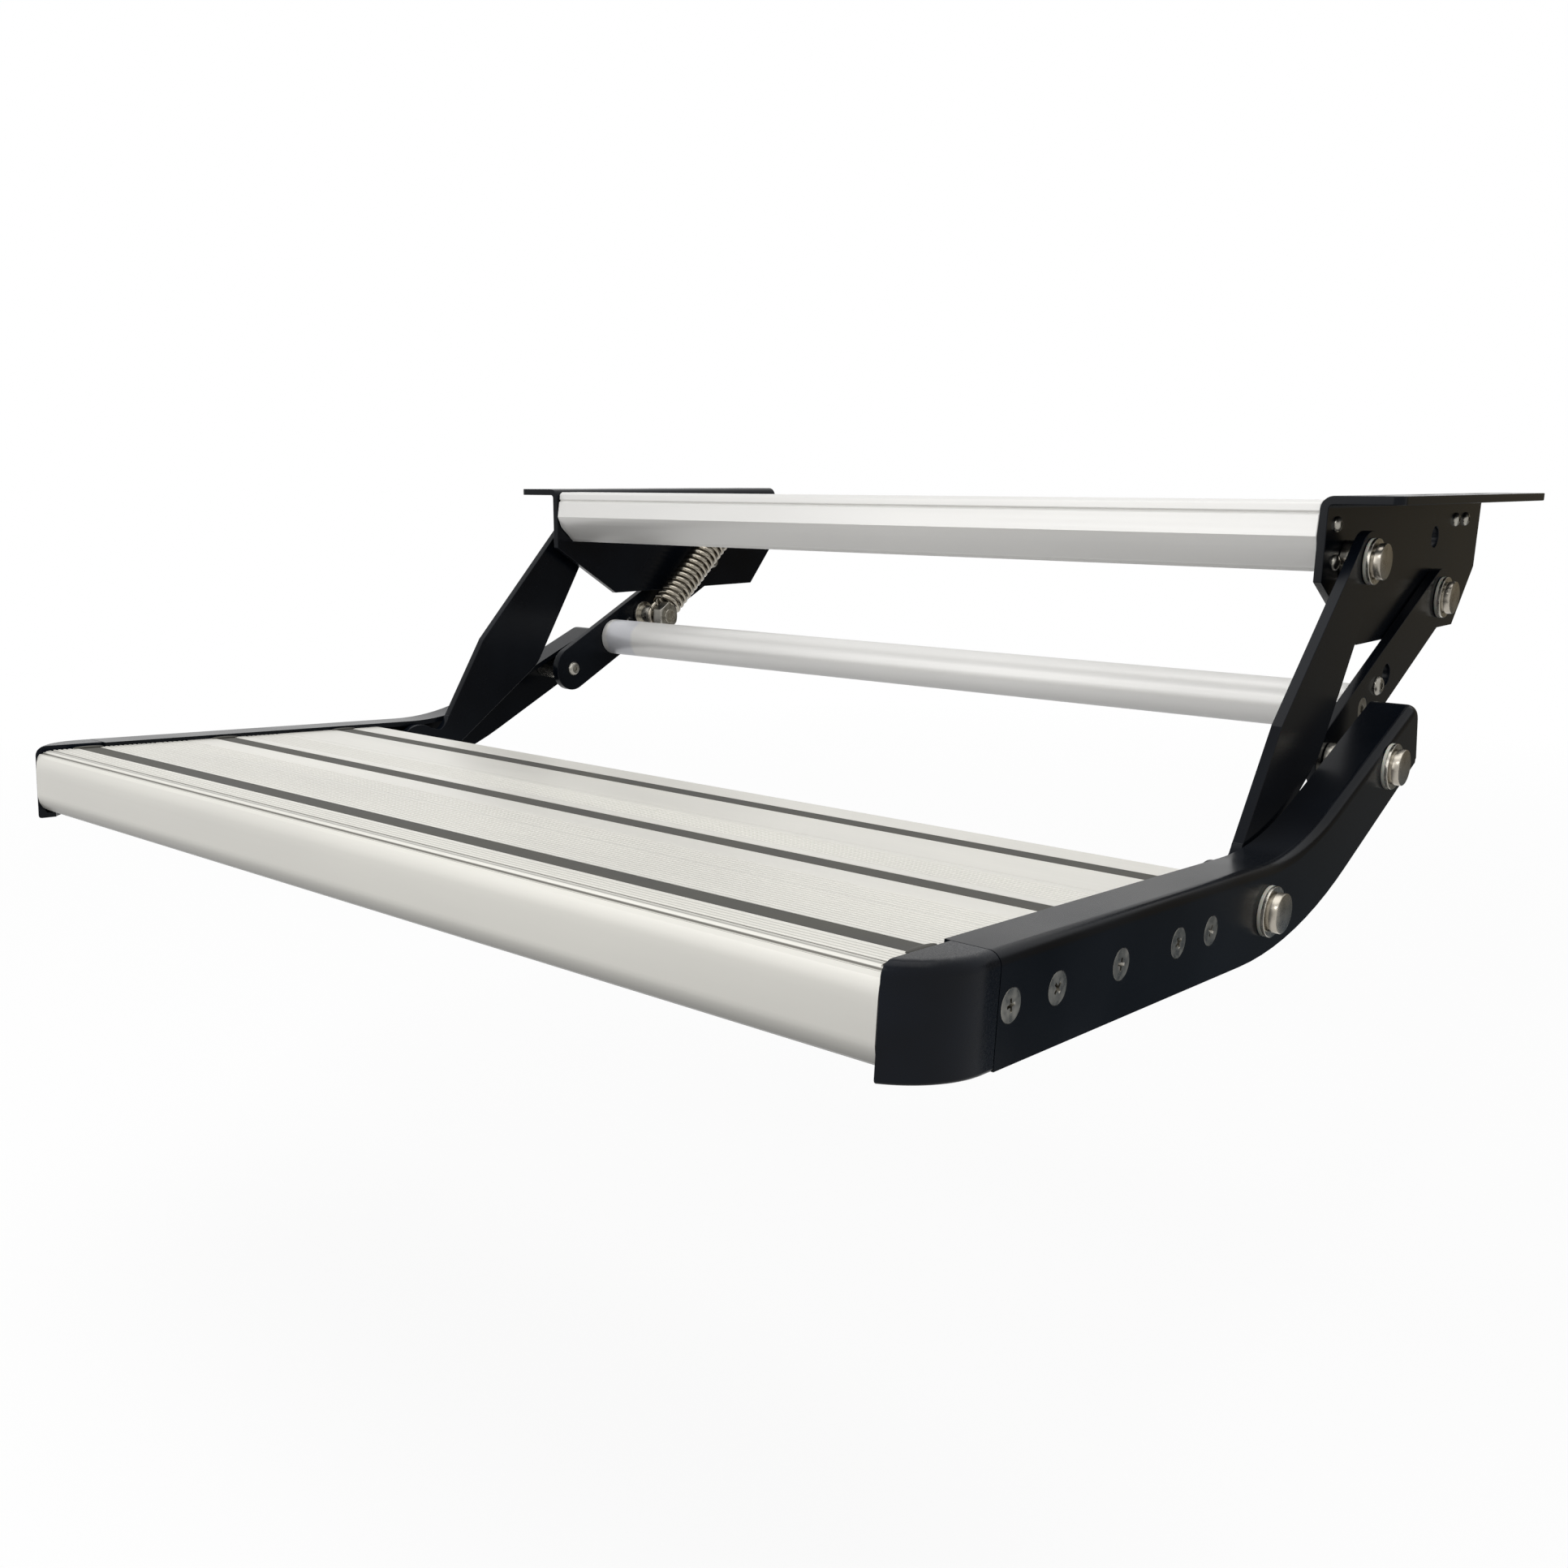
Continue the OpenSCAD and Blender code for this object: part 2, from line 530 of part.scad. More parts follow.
// rear edge of the arm, from the tip down
tail = tip + [8, -28.5];
tail_dir = unit(tail - tip);
tail_angle = atan2(-tail_dir[1], tail_dir[0]);
arm_dir = [cos(arm_angle), sin(arm_angle)];
corner_len = arm_corner_r * tan((arm_angle + tail_angle) / 2);
corner_c = tip - corner_len * arm_dir + arm_corner_r * [arm_dir[1], -arm_dir[0]];
low_bend = 237.6;
module rail_plate() difference() {
  polygon(concat([[rail_front, rail_top - 5], [arm_start, rail_top - 5],
    bend_end + 5 * [sin(arm_angle), -cos(arm_angle)],
    corner_c + (arm_corner_r - 5) * [-arm_dir[1], arm_dir[0]],
    corner_c + (arm_corner_r - 5) * [-tail_dir[1], tail_dir[0]],
    tail - 5 * [-tail_dir[1], tail_dir[0]], tail + [-5, -3.1]],
    arc([tread_depth + 5, rail_bottom + low_bend], low_bend, -62.2, -90, 10), [[rail_front, rail_bottom]]));
  translate(bend_c) circle(r = arm_bend_r + 5, $fn = 96);
}
module rail() treaded() difference() {
  union() {
    run(rail_front, arm_start) translate([0, rail_top]) crown();
    translate([0, bend_c[0], bend_c[1]]) rotate([90, 0, 90]) rotate(-90)
      rotate_extrude(angle = arm_angle, $fn = 96) translate([arm_bend_r, 0]) rotate(90) crown();
    translate([0, bend_end[0], bend_end[1]]) rotate([arm_angle, 0, 0])
      run(-0.5, arm_len - corner_len + 0.2) crown(0.02, 2);
    translate([0, corner_c[0], corner_c[1]]) rotate([90, 0, 90]) rotate(90 - tail_angle)
      rotate_extrude(angle = arm_angle + tail_angle, $fn = 96) translate([arm_corner_r, 0]) mirror([1, 0])
      rotate(90) crown(0.04, 2);
    translate([0, tip[0], tip[1]]) rotate([-tail_angle, 0, 0])
      run(corner_len - 0.2, norm(tail - tip)) crown(0.02, 2);
    slab(rail_x, out_x) rail_plate();
  }
  rod(ct, rail_x - 1, out_x + 1, pin_r + pin_fit);
  rod(dt, rail_x - 1, out_x + 1, pin_r + pin_fit);
  for (y = rail_screw_y) translate([rail_x - 0.01, y, port_z]) rotate([0, 90, 0])
    cylinder(h = rail_t + 0.02, r1 = 3.25, r2 = 6.1);
}
module left_rail() color("#1b1e24") mirrored() rail();
module right_rail() color("#1b1e24") rail();
module rail_screws() color("#8d8c88") treaded() both() for (y = rail_screw_y) {
  difference() {
    translate([rail_x, y, port_z]) rotate([0, 90, 0]) cylinder(h = rail_t - 0.05, r1 = 3, r2 = 5.95);
    translate([out_x - 1.6, y, port_z]) rotate([0, 90, 0]) cylinder(h = 3, r = 1.6);
  }
  translate([rail_x - 18, y, port_z]) rotate([0, 90, 0]) cylinder(h = 18.01, r = 2.9);
}

// corner caps: hollow mouldings that close the nose and run into the rails
cap_r = 37;
cap_c = [out_x - cap_r, 32.3];
module cap_section() polygon(concat([[0, rail_top], [cap_r - 5, rail_top]],
  arc([cap_r - 5, rail_top - 5], 5, 75, 0, 5), arc([cap_r - 1.5, rail_bottom + 1.5], 1.5, 0, -90, 3),
  [[cap_r - 8, rail_bottom], [cap_r - 8, rail_bottom + 2.5], [cap_r - 4, rail_bottom + 3], [cap_r - 3, rail_bottom + 5],
   [cap_r - 3, rail_top - 5], [cap_r - 5, rail_top - 3], [0, rail_top - 3]]));
module cap() treaded() difference() {
  intersection() {
    union() {
      translate([cap_c[0], cap_c[1], 0]) rotate(-90) rotate_extrude(angle = 90, $fn = 96) cap_section();
      run(cap_c[1], rail_front - slide_gap) translate([cap_c[0], 0]) cap_section();
    }
    translate([cap_seam_x, -20, -60]) cube([40, 80, 80]);
  }
  // rounded lower corner next to the nose
  run(-20, 20) difference() {
    translate([cap_seam_x - 1, rail_bottom - 1]) square(4);
    translate([cap_seam_x + 3, rail_bottom + 3]) circle(r = 3);
  }
}
module left_corner_cap() color("#22252b") mirrored() cap();
module right_corner_cap() color("#22252b") cap();

// tread pins: head outside the rail
t_head_x = out_x + 2 * washer_t;
module front_tread_pins() color("#a19e98") treaded() both() difference() {
  union() {
    pin_head(ct, t_head_x);
    rod(ct, l1b + slide_gap, t_head_x + 0.01, pin_r);
    rod(ct, l1a - slide_gap, l1b + slide_gap + 0.1, neck_r);
  }
  rod(ct, l1a - 2, l1a + 13, 2.5);
}
module front_tread_spacers() color("#b4b2ad") treaded() both()
  ring(ct, l1b + slide_gap + 0.1, rail_x - 0.3, 9.5, pin_r + 0.1);
module front_tread_screws() color("#8d8c88") treaded() both() end_screw(ct, l1a - slide_gap, 12);
// the rear tread pin stops just outside the rear link; the rest of it belongs to the link
module rear_tread_pins() color("#a19e98") treaded() both() {
  pin_head(dt, t_head_x);
  rod(dt, l2b + slide_gap, t_head_x + 0.01, pin_r);
}
module rear_tread_spacers() color("#b4b2ad") treaded() both()
  ring(dt, l2b + slide_gap + 0.1, rail_x - 0.3, 8, pin_r + 0.1);
module tread_slip_washers() color("#d4d2c8") treaded() both() {
  ring(ct, out_x, out_x + washer_t, washer_r, pin_r + 0.1);
  ring(dt, out_x, out_x + washer_t, washer_r, pin_r + 0.1);
}
module tread_washers() color("#a8a6a1") treaded() both() {
  ring(ct, out_x + washer_t, t_head_x, washer_r, pin_r + 0.1);
  ring(dt, out_x + washer_t, t_head_x, washer_r, pin_r + 0.1);
}

// return spring: close coil with a full loop at each end, one unbroken wire
post_grip = coil_r - wire_r - sleeve_r - 0.2;
anchor_grip = coil_r - wire_r - 4 - 0.3;
s_all = norm(post_c - anchor);
s_dir = unit(post_c - anchor);
s_nrm = turned(s_dir);
// body between the two loops, each loop centre set back from its stud
loop_lo = anchor_grip;
loop_hi = s_all - post_grip;
body_lo = loop_lo + coil_r;
body_hi = loop_hi - coil_r;
turns = floor((body_hi - body_lo) / coil_pitch);
rise = (body_hi - body_lo) / turns;
per = 8;
loop_n = 14;
loop_deg = 285;
function ease(t) = t <= 0 ? 0 : t >= 1 ? 1 : t * t * (3 - 2 * t);
// path points: along the axis, sideways (width), and across
function body_pt(i) = let (a = 360 * i / per) [body_lo + rise * i / per, coil_r * cos(a), coil_r * sin(a)];
function hi_pt(b) = [body_hi + coil_r * (1 - cos(b)), coil_r * (1 - ease(b / 90)), coil_r * sin(b)];
function lo_pt(b) = [body_lo - coil_r * (1 - cos(b)), coil_r * (1 - ease(b / 90)), -coil_r * sin(b)];
path = concat([for (k = [loop_n : -1 : 1]) lo_pt(loop_deg * k / loop_n)],
  [for (i = [0 : turns * per]) body_pt(i)],
  [for (k = [1 : loop_n]) hi_pt(loop_deg * k / loop_n)]);
n_path = len(path);
function tangent(i) = unit(path[min(i + 1, n_path - 1)] - path[max(i - 1, 0)]);
function settle(v, t) = unit(v - (v * t) * t);
frames = [for (i = 0, v = settle([0.3, 1, 0.2], tangent(0)); i < n_path;
  i = i + 1, v = i < n_path ? settle(v, tangent(i)) : v) v];
side_n = 6;
wire_pts = [for (i = [0 : n_path - 1]) for (k = [0 : side_n - 1])
  let (a = 360 * k / side_n, t = tangent(i), u = frames[i], w = cross(t, u)) path[i] + wire_r * (cos(a) * u + sin(a) * w)];
wire_faces = concat(
  [for (i = [0 : n_path - 2]) for (k = [0 : side_n - 1]) each
    let (a = i * side_n + k, b = i * side_n + (k + 1) % side_n) [[a, a + side_n, b], [b, a + side_n, b + side_n]]],
  [for (k = [1 : side_n - 2]) [0, k, k + 1]],
  [for (k = [1 : side_n - 2]) let (e = (n_path - 1) * side_n) [e, e + k + 1, e + k]]);
function world(p) = [-spring_hi_x - (spring_lo_x - spring_hi_x) * p[0] / s_all - p[1], anchor[0] + p[0] * s_dir[0] + p[2] * s_nrm[0],
                     anchor[1] + p[0] * s_dir[1] + p[2] * s_nrm[1]];
near = [for (i = [0 : n_path - 1]) for (j = [i + 5 : n_path - 1]) norm(path[i] - path[j])];
echo(turns = turns, rise = rise, least_gap = min(near) - 2 * wire_r, faces = len(wire_faces));
module return_spring() color("#8a8883") mounted() polyhedron(points = [for (p = wire_pts) world(p)], faces = wire_faces);

left_bracket();
right_bracket();
front_beam();
beam_screws();
rear_crossbar();
crossbar_screws();
front_top_pins();
front_top_spacers();
front_top_slip_washers();
front_top_washers();
rear_top_pins();
rear_top_slip_washers();
rear_top_washers();
top_pin_screws();
spring_anchor();
left_front_link();
right_front_link();
nose_plank();
middle_plank();
rear_plank();
nose_strip();
middle_strip();
rear_strip();
left_rail();
right_rail();
left_corner_cap();
right_corner_cap();
rail_screws();
front_tread_pins();
front_tread_spacers();
front_tread_screws();
rear_tread_pins();
rear_tread_spacers();
tread_slip_washers();
tread_washers();
left_rear_link();
right_rear_link();
cross_tube();
tube_plugs();
tube_screws();
rear_pin_ends();
rear_pin_screws();
post_bolt();
post_sleeve();
post_nut();
spare_screw();
spare_nut();
return_spring();
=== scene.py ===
# %% [markdown]
# # A fold-away entry step
# The step hangs under a camper's floor: two top brackets, four side links, a ribbed aluminium tread
# between two pressed black rails, and one return spring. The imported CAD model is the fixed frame. This
# lesson breaks its sharp edges as the press and the mould leave them, rebuilds the small pieces that a
# photograph shows close up, gives each finish its own material, and lights it like a product on a white
# table.

# %% The frame
import json
import math

import bmesh
import bpy
from mathutils import Matrix, Vector


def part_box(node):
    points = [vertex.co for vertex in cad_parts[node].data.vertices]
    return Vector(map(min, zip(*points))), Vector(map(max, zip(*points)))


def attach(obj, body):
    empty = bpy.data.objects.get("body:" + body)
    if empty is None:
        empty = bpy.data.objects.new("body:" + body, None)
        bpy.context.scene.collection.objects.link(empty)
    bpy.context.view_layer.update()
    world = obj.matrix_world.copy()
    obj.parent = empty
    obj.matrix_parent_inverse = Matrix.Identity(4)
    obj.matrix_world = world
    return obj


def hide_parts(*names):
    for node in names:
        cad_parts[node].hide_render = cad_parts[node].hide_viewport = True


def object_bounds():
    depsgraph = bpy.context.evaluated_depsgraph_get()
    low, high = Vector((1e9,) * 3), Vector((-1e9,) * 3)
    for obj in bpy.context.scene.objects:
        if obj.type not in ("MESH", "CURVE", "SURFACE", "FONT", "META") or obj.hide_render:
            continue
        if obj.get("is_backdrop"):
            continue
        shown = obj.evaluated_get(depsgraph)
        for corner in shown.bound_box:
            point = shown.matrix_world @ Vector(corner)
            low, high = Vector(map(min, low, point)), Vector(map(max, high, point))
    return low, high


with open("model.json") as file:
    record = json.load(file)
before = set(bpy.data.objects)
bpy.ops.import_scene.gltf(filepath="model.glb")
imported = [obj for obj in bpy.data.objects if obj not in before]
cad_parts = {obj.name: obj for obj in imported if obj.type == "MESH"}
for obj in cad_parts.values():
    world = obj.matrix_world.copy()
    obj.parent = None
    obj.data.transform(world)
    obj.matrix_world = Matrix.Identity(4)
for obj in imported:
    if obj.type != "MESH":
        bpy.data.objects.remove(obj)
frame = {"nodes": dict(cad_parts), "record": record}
nodes = frame["nodes"]
cad_low, cad_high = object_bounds()
bodies = frame["record"]["behaviour"]["bodies"]
body_of_node = {node: body for body, names in bodies.items() for node in names}
slot_of_node = {part["node"]: part["material_slot"] for part in frame["record"]["subparts"]}
print("nodes", len(nodes), "size in mm", [round(1000 * (b - a), 1) for a, b in zip(cad_low, cad_high)])

# %% [markdown]
# ## Camera
# The camera was found by fitting the step's straight edges, screws and pins to the photograph. Its place
# is written in millimetres in the frame of the part, and its turn as azimuth, elevation and roll. The
# picture's middle lies a little off the lens axis, which the two shift values carry.

# %% Camera
MM = 0.001
PICTURE = 1932
FOCAL_PIXELS = 1865.8
LENS_AXIS_PIXEL = (883.6, 1069.2)
CAMERA_PLACE_MM = (527.02, -831.58, 7.36)
CAMERA_AZIMUTH, CAMERA_ELEVATION, CAMERA_ROLL = 41.756, 14.425, -0.072


def camera_turn(azimuth, elevation, roll):
    """Right, up and backward directions of a camera as the columns of a matrix."""
    a, e, r = (math.radians(v) for v in (azimuth, elevation, roll))
    ahead = Vector((-math.sin(a) * math.cos(e), math.cos(a) * math.cos(e), -math.sin(e)))
    level = Vector((math.cos(a), math.sin(a), 0))
    under = ahead.cross(level)
    right = level * math.cos(r) + under * math.sin(r)
    down = under * math.cos(r) - level * math.sin(r)
    return Matrix((right, -down, -ahead)).transposed()


lens = bpy.data.cameras.new("camera")
camera = bpy.data.objects.new("camera", lens)
bpy.context.scene.collection.objects.link(camera)
bpy.context.scene.camera = camera
lens.sensor_width = 36
lens.lens = FOCAL_PIXELS / PICTURE * lens.sensor_width
lens.shift_x = (PICTURE / 2 - LENS_AXIS_PIXEL[0]) / PICTURE
lens.shift_y = (LENS_AXIS_PIXEL[1] - PICTURE / 2) / PICTURE
lens.clip_start, lens.clip_end = 0.01, 50
turn = camera_turn(CAMERA_AZIMUTH, CAMERA_ELEVATION, CAMERA_ROLL)
camera.matrix_world = Matrix.Translation(Vector(CAMERA_PLACE_MM) * MM) @ turn.to_4x4()
print("lens", round(lens.lens, 2), "shift", round(lens.shift_x, 4), round(lens.shift_y, 4))

# %% [markdown]
# ## Colours and nodes
# Materials are written as node trees. One function turns a paint-shop hex colour into the linear colour
# that the shader works with, and one function adds a node with its settings and links. A third starts a
# material and sets the constants on the shader's own sockets.

# %% Colours and nodes
def linear(hex_colour):
    """sRGB hex to the linear colour that nodes take."""
    parts = [int(hex_colour[i : i + 2], 16) / 255 for i in (1, 3, 5)]
    return [c / 12.92 if c <= 0.04045 else ((c + 0.055) / 1.055) ** 2.4 for c in parts] + [1]


def add(tree, kind, settings=None, links=None):
    """Adds one node, sets its properties and input values, and links its inputs."""
    node = tree.nodes.new(kind)
    for name, value in (settings or {}).items():
        if isinstance(name, int) or name in node.inputs:
            node.inputs[name].default_value = value
        else:
            setattr(node, name, value)
    for name, source in (links or {}).items():
        tree.links.new(source, node.inputs[name])
    return node


def material(name, sockets=None):
    """A new material, its node tree and its shader, with constants set on the shader itself."""
    made = bpy.data.materials.new(name)
    made.use_nodes = True
    shader = made.node_tree.nodes["Principled BSDF"]
    for socket, value in (sockets or {}).items():
        shader.inputs[socket].default_value = value
    return made, made.node_tree, shader


print("black paint in linear light", [round(c, 4) for c in linear("#070A10")])

# %% [markdown]
# ## Patterns
# Nearly every finish is a noise of a known size in millimetres: clouds in the colour, a grain in the
# sheen and a fine relief. Noise spends most of its range in the middle, so its middle part is spread to
# the whole range.

# %% Patterns
PATTERN_LOW, PATTERN_HIGH = 0.3, 0.7


def grain(tree, size_mm, stretch=(1, 1, 1), detail=3.0, seed=0.0):
    """Noise on Object coordinates whose blobs are about size_mm across, longer where stretch is over 1."""
    place = add(tree, "ShaderNodeTexCoord")
    settings = {"Scale": [1000 / (size_mm * s) for s in stretch], "Location": (seed, seed, seed)}
    mapping = add(tree, "ShaderNodeMapping", settings, {"Vector": place.outputs["Object"]})
    settings = {"Scale": 1.0, "Detail": detail}
    return add(tree, "ShaderNodeTexNoise", settings, {"Vector": mapping.outputs[0]}).outputs[0]


def tones(tree, pattern, low, high):
    """A colour that goes from low to high with a pattern."""
    settings = {"From Min": PATTERN_LOW, "From Max": PATTERN_HIGH}
    spread = add(tree, "ShaderNodeMapRange", settings, {"Value": pattern})
    settings = {"data_type": "RGBA", 6: linear(low), 7: linear(high)}
    return add(tree, "ShaderNodeMix", settings, {0: spread.outputs[0]}).outputs[2]


def surface(tree, shader, colour, sheen, roughness, height, depth_mm, strength):
    """Feeds the shader a colour, a roughness between two ends by the sheen pattern, and a fine relief."""
    low, high = roughness
    settings = {"From Min": PATTERN_LOW, "From Max": PATTERN_HIGH, "To Min": low, "To Max": high}
    spread = add(tree, "ShaderNodeMapRange", settings, {"Value": sheen})
    settings = {"Strength": strength, "Distance": depth_mm * MM}
    bump = add(tree, "ShaderNodeBump", settings, {"Height": height})
    tree.links.new(colour, shader.inputs["Base Color"])
    tree.links.new(spread.outputs[0], shader.inputs["Roughness"])
    tree.links.new(bump.outputs[0], shader.inputs["Normal"])


print("patterns are spread from", PATTERN_LOW, "to", PATTERN_HIGH)

# %% [markdown]
# ## Powder coat
# Brackets, links and rails are steel with a black polyester powder coat, baked on. It flows into a smooth
# skin with a slight orange peel a millimetre or two across, semi-gloss, so a plate looks black face on
# and takes a dim sheen at a slant. The peel is drawn a little coarser than the real one, or it would not
# show.

# %% Powder coat
coat, tree, shader = material("powder_coated_steel", {"Specular IOR Level": 0.12})
peel = grain(tree, 1.8, seed=3.0)
cloud = grain(tree, 60, detail=2.0, seed=8.0)
colour = tones(tree, cloud, "#070A10", "#0D1219")
surface(tree, shader, colour, cloud, (0.18, 0.26), peel, depth_mm=0.02, strength=0.3)
print(coat.name, len(tree.nodes), "nodes")

# %% [markdown]
# ## Moulded plastic
# The corner caps are injection moulded nylon with glass in it, black. A fine spark-eroded grain breaks up
# the sheen, which is why the cap looks duller than the coated rail beside it. The tube plugs are the same
# plastic in grey, and the slip washers are natural nylon, which lets a little light into its rim.

# %% Moulded plastic
LIGHT_IN_RIM = {"Subsurface Weight": 0.25, "Subsurface Scale": 2 * MM}


def moulded(name, low, high, roughness, grain_mm, depth_mm, sockets=None):
    made, tree, shader = material(name, {"Specular IOR Level": 0.13, **(sockets or {})})
    speck = grain(tree, grain_mm, seed=1.0)
    cloud = grain(tree, 25, detail=2.0)
    colour = tones(tree, cloud, low, high)
    ends = (roughness - 0.05, roughness + 0.08)
    surface(tree, shader, colour, speck, ends, speck, depth_mm, strength=0.5)
    return made


cap_plastic = moulded("moulded_black_nylon", "#080C13", "#0F151F", 0.23, 0.9, 0.015)
plug_plastic = moulded("moulded_grey_nylon", "#6E6C66", "#7C7A74", 0.5, 0.9, 0.02)
washer_nylon = moulded("natural_nylon", "#C9C6BA", "#E0DDD2", 0.4, 1.2, 0.02, LIGHT_IN_RIM)
print(cap_plastic.name, plug_plastic.name, washer_nylon.name)

# %% [markdown]
# ## Rubber
# Grip strips are extruded rubber pressed into grooves in the planks. Rubber is matt with a faint bloom,
# and the die leaves hair lines along it, across the width of the step.

# %% Rubber
rubber, tree, shader = material("extruded_rubber", {"Specular IOR Level": 0.3})
die_line = grain(tree, 0.9, stretch=(300, 1, 1), seed=5.0)
bloom = grain(tree, 14, stretch=(3, 1, 1), seed=2.0)
colour = tones(tree, bloom, "#42413D", "#54534D")
surface(tree, shader, colour, bloom, (0.6, 0.78), die_line, depth_mm=0.05, strength=0.5)
print(rubber.name)

# %% [markdown]
# ## Anodised aluminium
# The planks, the beam and the tube are extruded and clear anodised. Etching before the bath turns the
# mirror of the metal into an even silvery satin, warm white in soft light, with faint lines along the
# extrusion. It is made of a part that scatters and a part that mirrors, so metallic stays well below one.

# %% Anodised aluminium
METAL_PART = 0.25


def anodised(name, low, high, roughness, seed, marking=None):
    """The last argument takes the tree and the plain colour and adds marks: painted shade on the planks, a
    bluish band on the tube.
    """
    made, tree, shader = material(name, {"Metallic": METAL_PART, "Specular IOR Level": 0.5})
    line = grain(tree, 1.1, stretch=(500, 1, 1), detail=4.0, seed=seed)
    cloud = grain(tree, 45, stretch=(4, 1, 1), detail=2.0, seed=seed)
    plain_colour = tones(tree, cloud, low, high)
    colour = marking(tree, plain_colour) if marking else plain_colour
    ends = (roughness - 0.05, roughness + 0.06)
    surface(tree, shader, colour, line, ends, line, depth_mm=0.012, strength=0.35)
    return made


beam_finish = anodised("anodised_beam", "#DCDBD8", "#E3E2DF", 0.36, 6.0)
print(beam_finish.name)

# %% [markdown]
# ## Painted shade on the tread
# Shade is painted between the ribs, and a film of painted shade on the nose's face and lower rounding.
# Both lie at a depth below the rib tops, so each mark is a range of depths, measured square to the tread,
# which hangs a few degrees down to the back. A line of painted shade also lies along the foot of the small
# step before the nose, and right below it the nose is unshaded again.

# %% Painted shade on the tread
TREAD_TILT = 3.35
TREAD_TOP_MM = -161.61
RIDGE_FRONT_Y_MM, RIDGE_SOFT_MM = -473, 0.3
DEPTHS_MM = {
    "groove": (0.15, 0.6, 1),
    "nose_step": (1.3, 1.6, 1),
    "nose": (2.0, 2.15, 1),
    "nose_face": (5, 13, 0.1),
    "nose_rounding": (22, 33, 0.8),
}


def tread_painted_shade(tree, plain_colour):
    """The plain colour with painted shade in the grooves, at the foot of the nose's step and low on the
    nose.
    """
    place = add(tree, "ShaderNodeTexCoord").outputs["Object"]
    upward = (0, math.sin(math.radians(TREAD_TILT)), math.cos(math.radians(TREAD_TILT)))
    height = add(tree, "ShaderNodeVectorMath", {"operation": "DOT_PRODUCT", 1: upward}, {0: place})
    at = {}
    for name, (start_mm, end_mm, most) in DEPTHS_MM.items():
        start, end = (TREAD_TOP_MM - start_mm) * MM, (TREAD_TOP_MM - end_mm) * MM
        settings = {"From Min": start, "From Max": end, "To Max": most}
        at[name] = add(tree, "ShaderNodeMapRange", settings, {"Value": height.outputs["Value"]}).outputs[0]
    along = add(tree, "ShaderNodeSeparateXYZ", {}, {0: place}).outputs["Y"]
    settings = {"From Min": (RIDGE_FRONT_Y_MM - RIDGE_SOFT_MM) * MM, "From Max": RIDGE_FRONT_Y_MM * MM}
    behind = add(tree, "ShaderNodeMapRange", settings, {"Value": along}).outputs[0]
    groove = add(tree, "ShaderNodeMath", {"operation": "MULTIPLY"}, {0: at["groove"], 1: behind})
    low_spots = {0: groove.outputs[0], 1: at["nose_step"]}
    either = add(tree, "ShaderNodeMath", {"operation": "MAXIMUM"}, low_spots)
    painted_shade = add(tree, "ShaderNodeMath", {"operation": "SUBTRACT"}, {0: either.outputs[0], 1: at["nose"]})
    # painted shade in the grooves and along the foot of the nose's step
    settings = {"data_type": "RGBA", 7: linear("#6F6D66")}
    shaded = add(tree, "ShaderNodeMix", settings, {0: painted_shade.outputs[0], 6: plain_colour}).outputs[2]
    on_nose = {0: at["nose_face"], 1: at["nose_rounding"]}
    nose_shade = add(tree, "ShaderNodeMath", {"operation": "MAXIMUM"}, on_nose)
    # painted shade on the nose's face and lower rounding
    settings = {"data_type": "RGBA", 7: linear("#6A6965")}
    return add(tree, "ShaderNodeMix", settings, {0: nose_shade.outputs[0], 6: shaded}).outputs[2]


plank_finish = anodised("anodised_planks", "#DDDBD4", "#E6E4DC", 0.4, 2.0, tread_painted_shade)
print(plank_finish.name, len(plank_finish.node_tree.nodes), "nodes")

# %% [markdown]
# ## The bluish band on the tube
# Near its left end the tube has a darker, bluish band. It is a stretch of X with soft ends, and a little
# noise added to X makes the ends uneven.

# %% The bluish band on the tube
BAND_START_MM, BAND_END_MM = -256, -232
BAND_START_SOFT_MM, BAND_END_SOFT_MM = 2, 3
BAND_UNEVEN_MM = 6


def bluish_band(tree, plain_colour):
    """The plain colour with a bluish band."""
    place = add(tree, "ShaderNodeTexCoord").outputs["Object"]
    along = add(tree, "ShaderNodeSeparateXYZ", {}, {0: place}).outputs["X"]
    settings = {"operation": "MULTIPLY_ADD", 1: BAND_UNEVEN_MM * MM}
    uneven = add(tree, "ShaderNodeMath", settings, {0: grain(tree, 9), 2: along}).outputs[0]
    settings = {"From Min": (BAND_END_MM + BAND_END_SOFT_MM) * MM, "From Max": BAND_END_MM * MM}
    inner = add(tree, "ShaderNodeMapRange", settings, {"Value": uneven}).outputs[0]
    settings = {"From Min": BAND_START_MM * MM, "From Max": (BAND_START_MM + BAND_START_SOFT_MM) * MM}
    outer = add(tree, "ShaderNodeMapRange", settings, {"Value": uneven}).outputs[0]
    band = add(tree, "ShaderNodeMath", {"operation": "MULTIPLY"}, {0: inner, 1: outer}).outputs[0]
    settings = {"data_type": "RGBA", 7: linear("#D6D7DB")}
    return add(tree, "ShaderNodeMix", settings, {0: band, 6: plain_colour}).outputs[2]


tube_finish = anodised("anodised_tube", "#E0DFDC", "#E9E8E5", 0.38, 9.0, bluish_band)
print(tube_finish.name, "band is", BAND_END_MM - BAND_START_MM, "mm wide")

# %% [markdown]
# ## Turned steel
# Pins are turned stainless steel, a warm grey mirror dulled by the tool's rings. The rings follow an
# attribute, the distance from the axis in millimetres, which each turned piece carries. They are drawn
# coarser than a real tool leaves them, or they would not show.

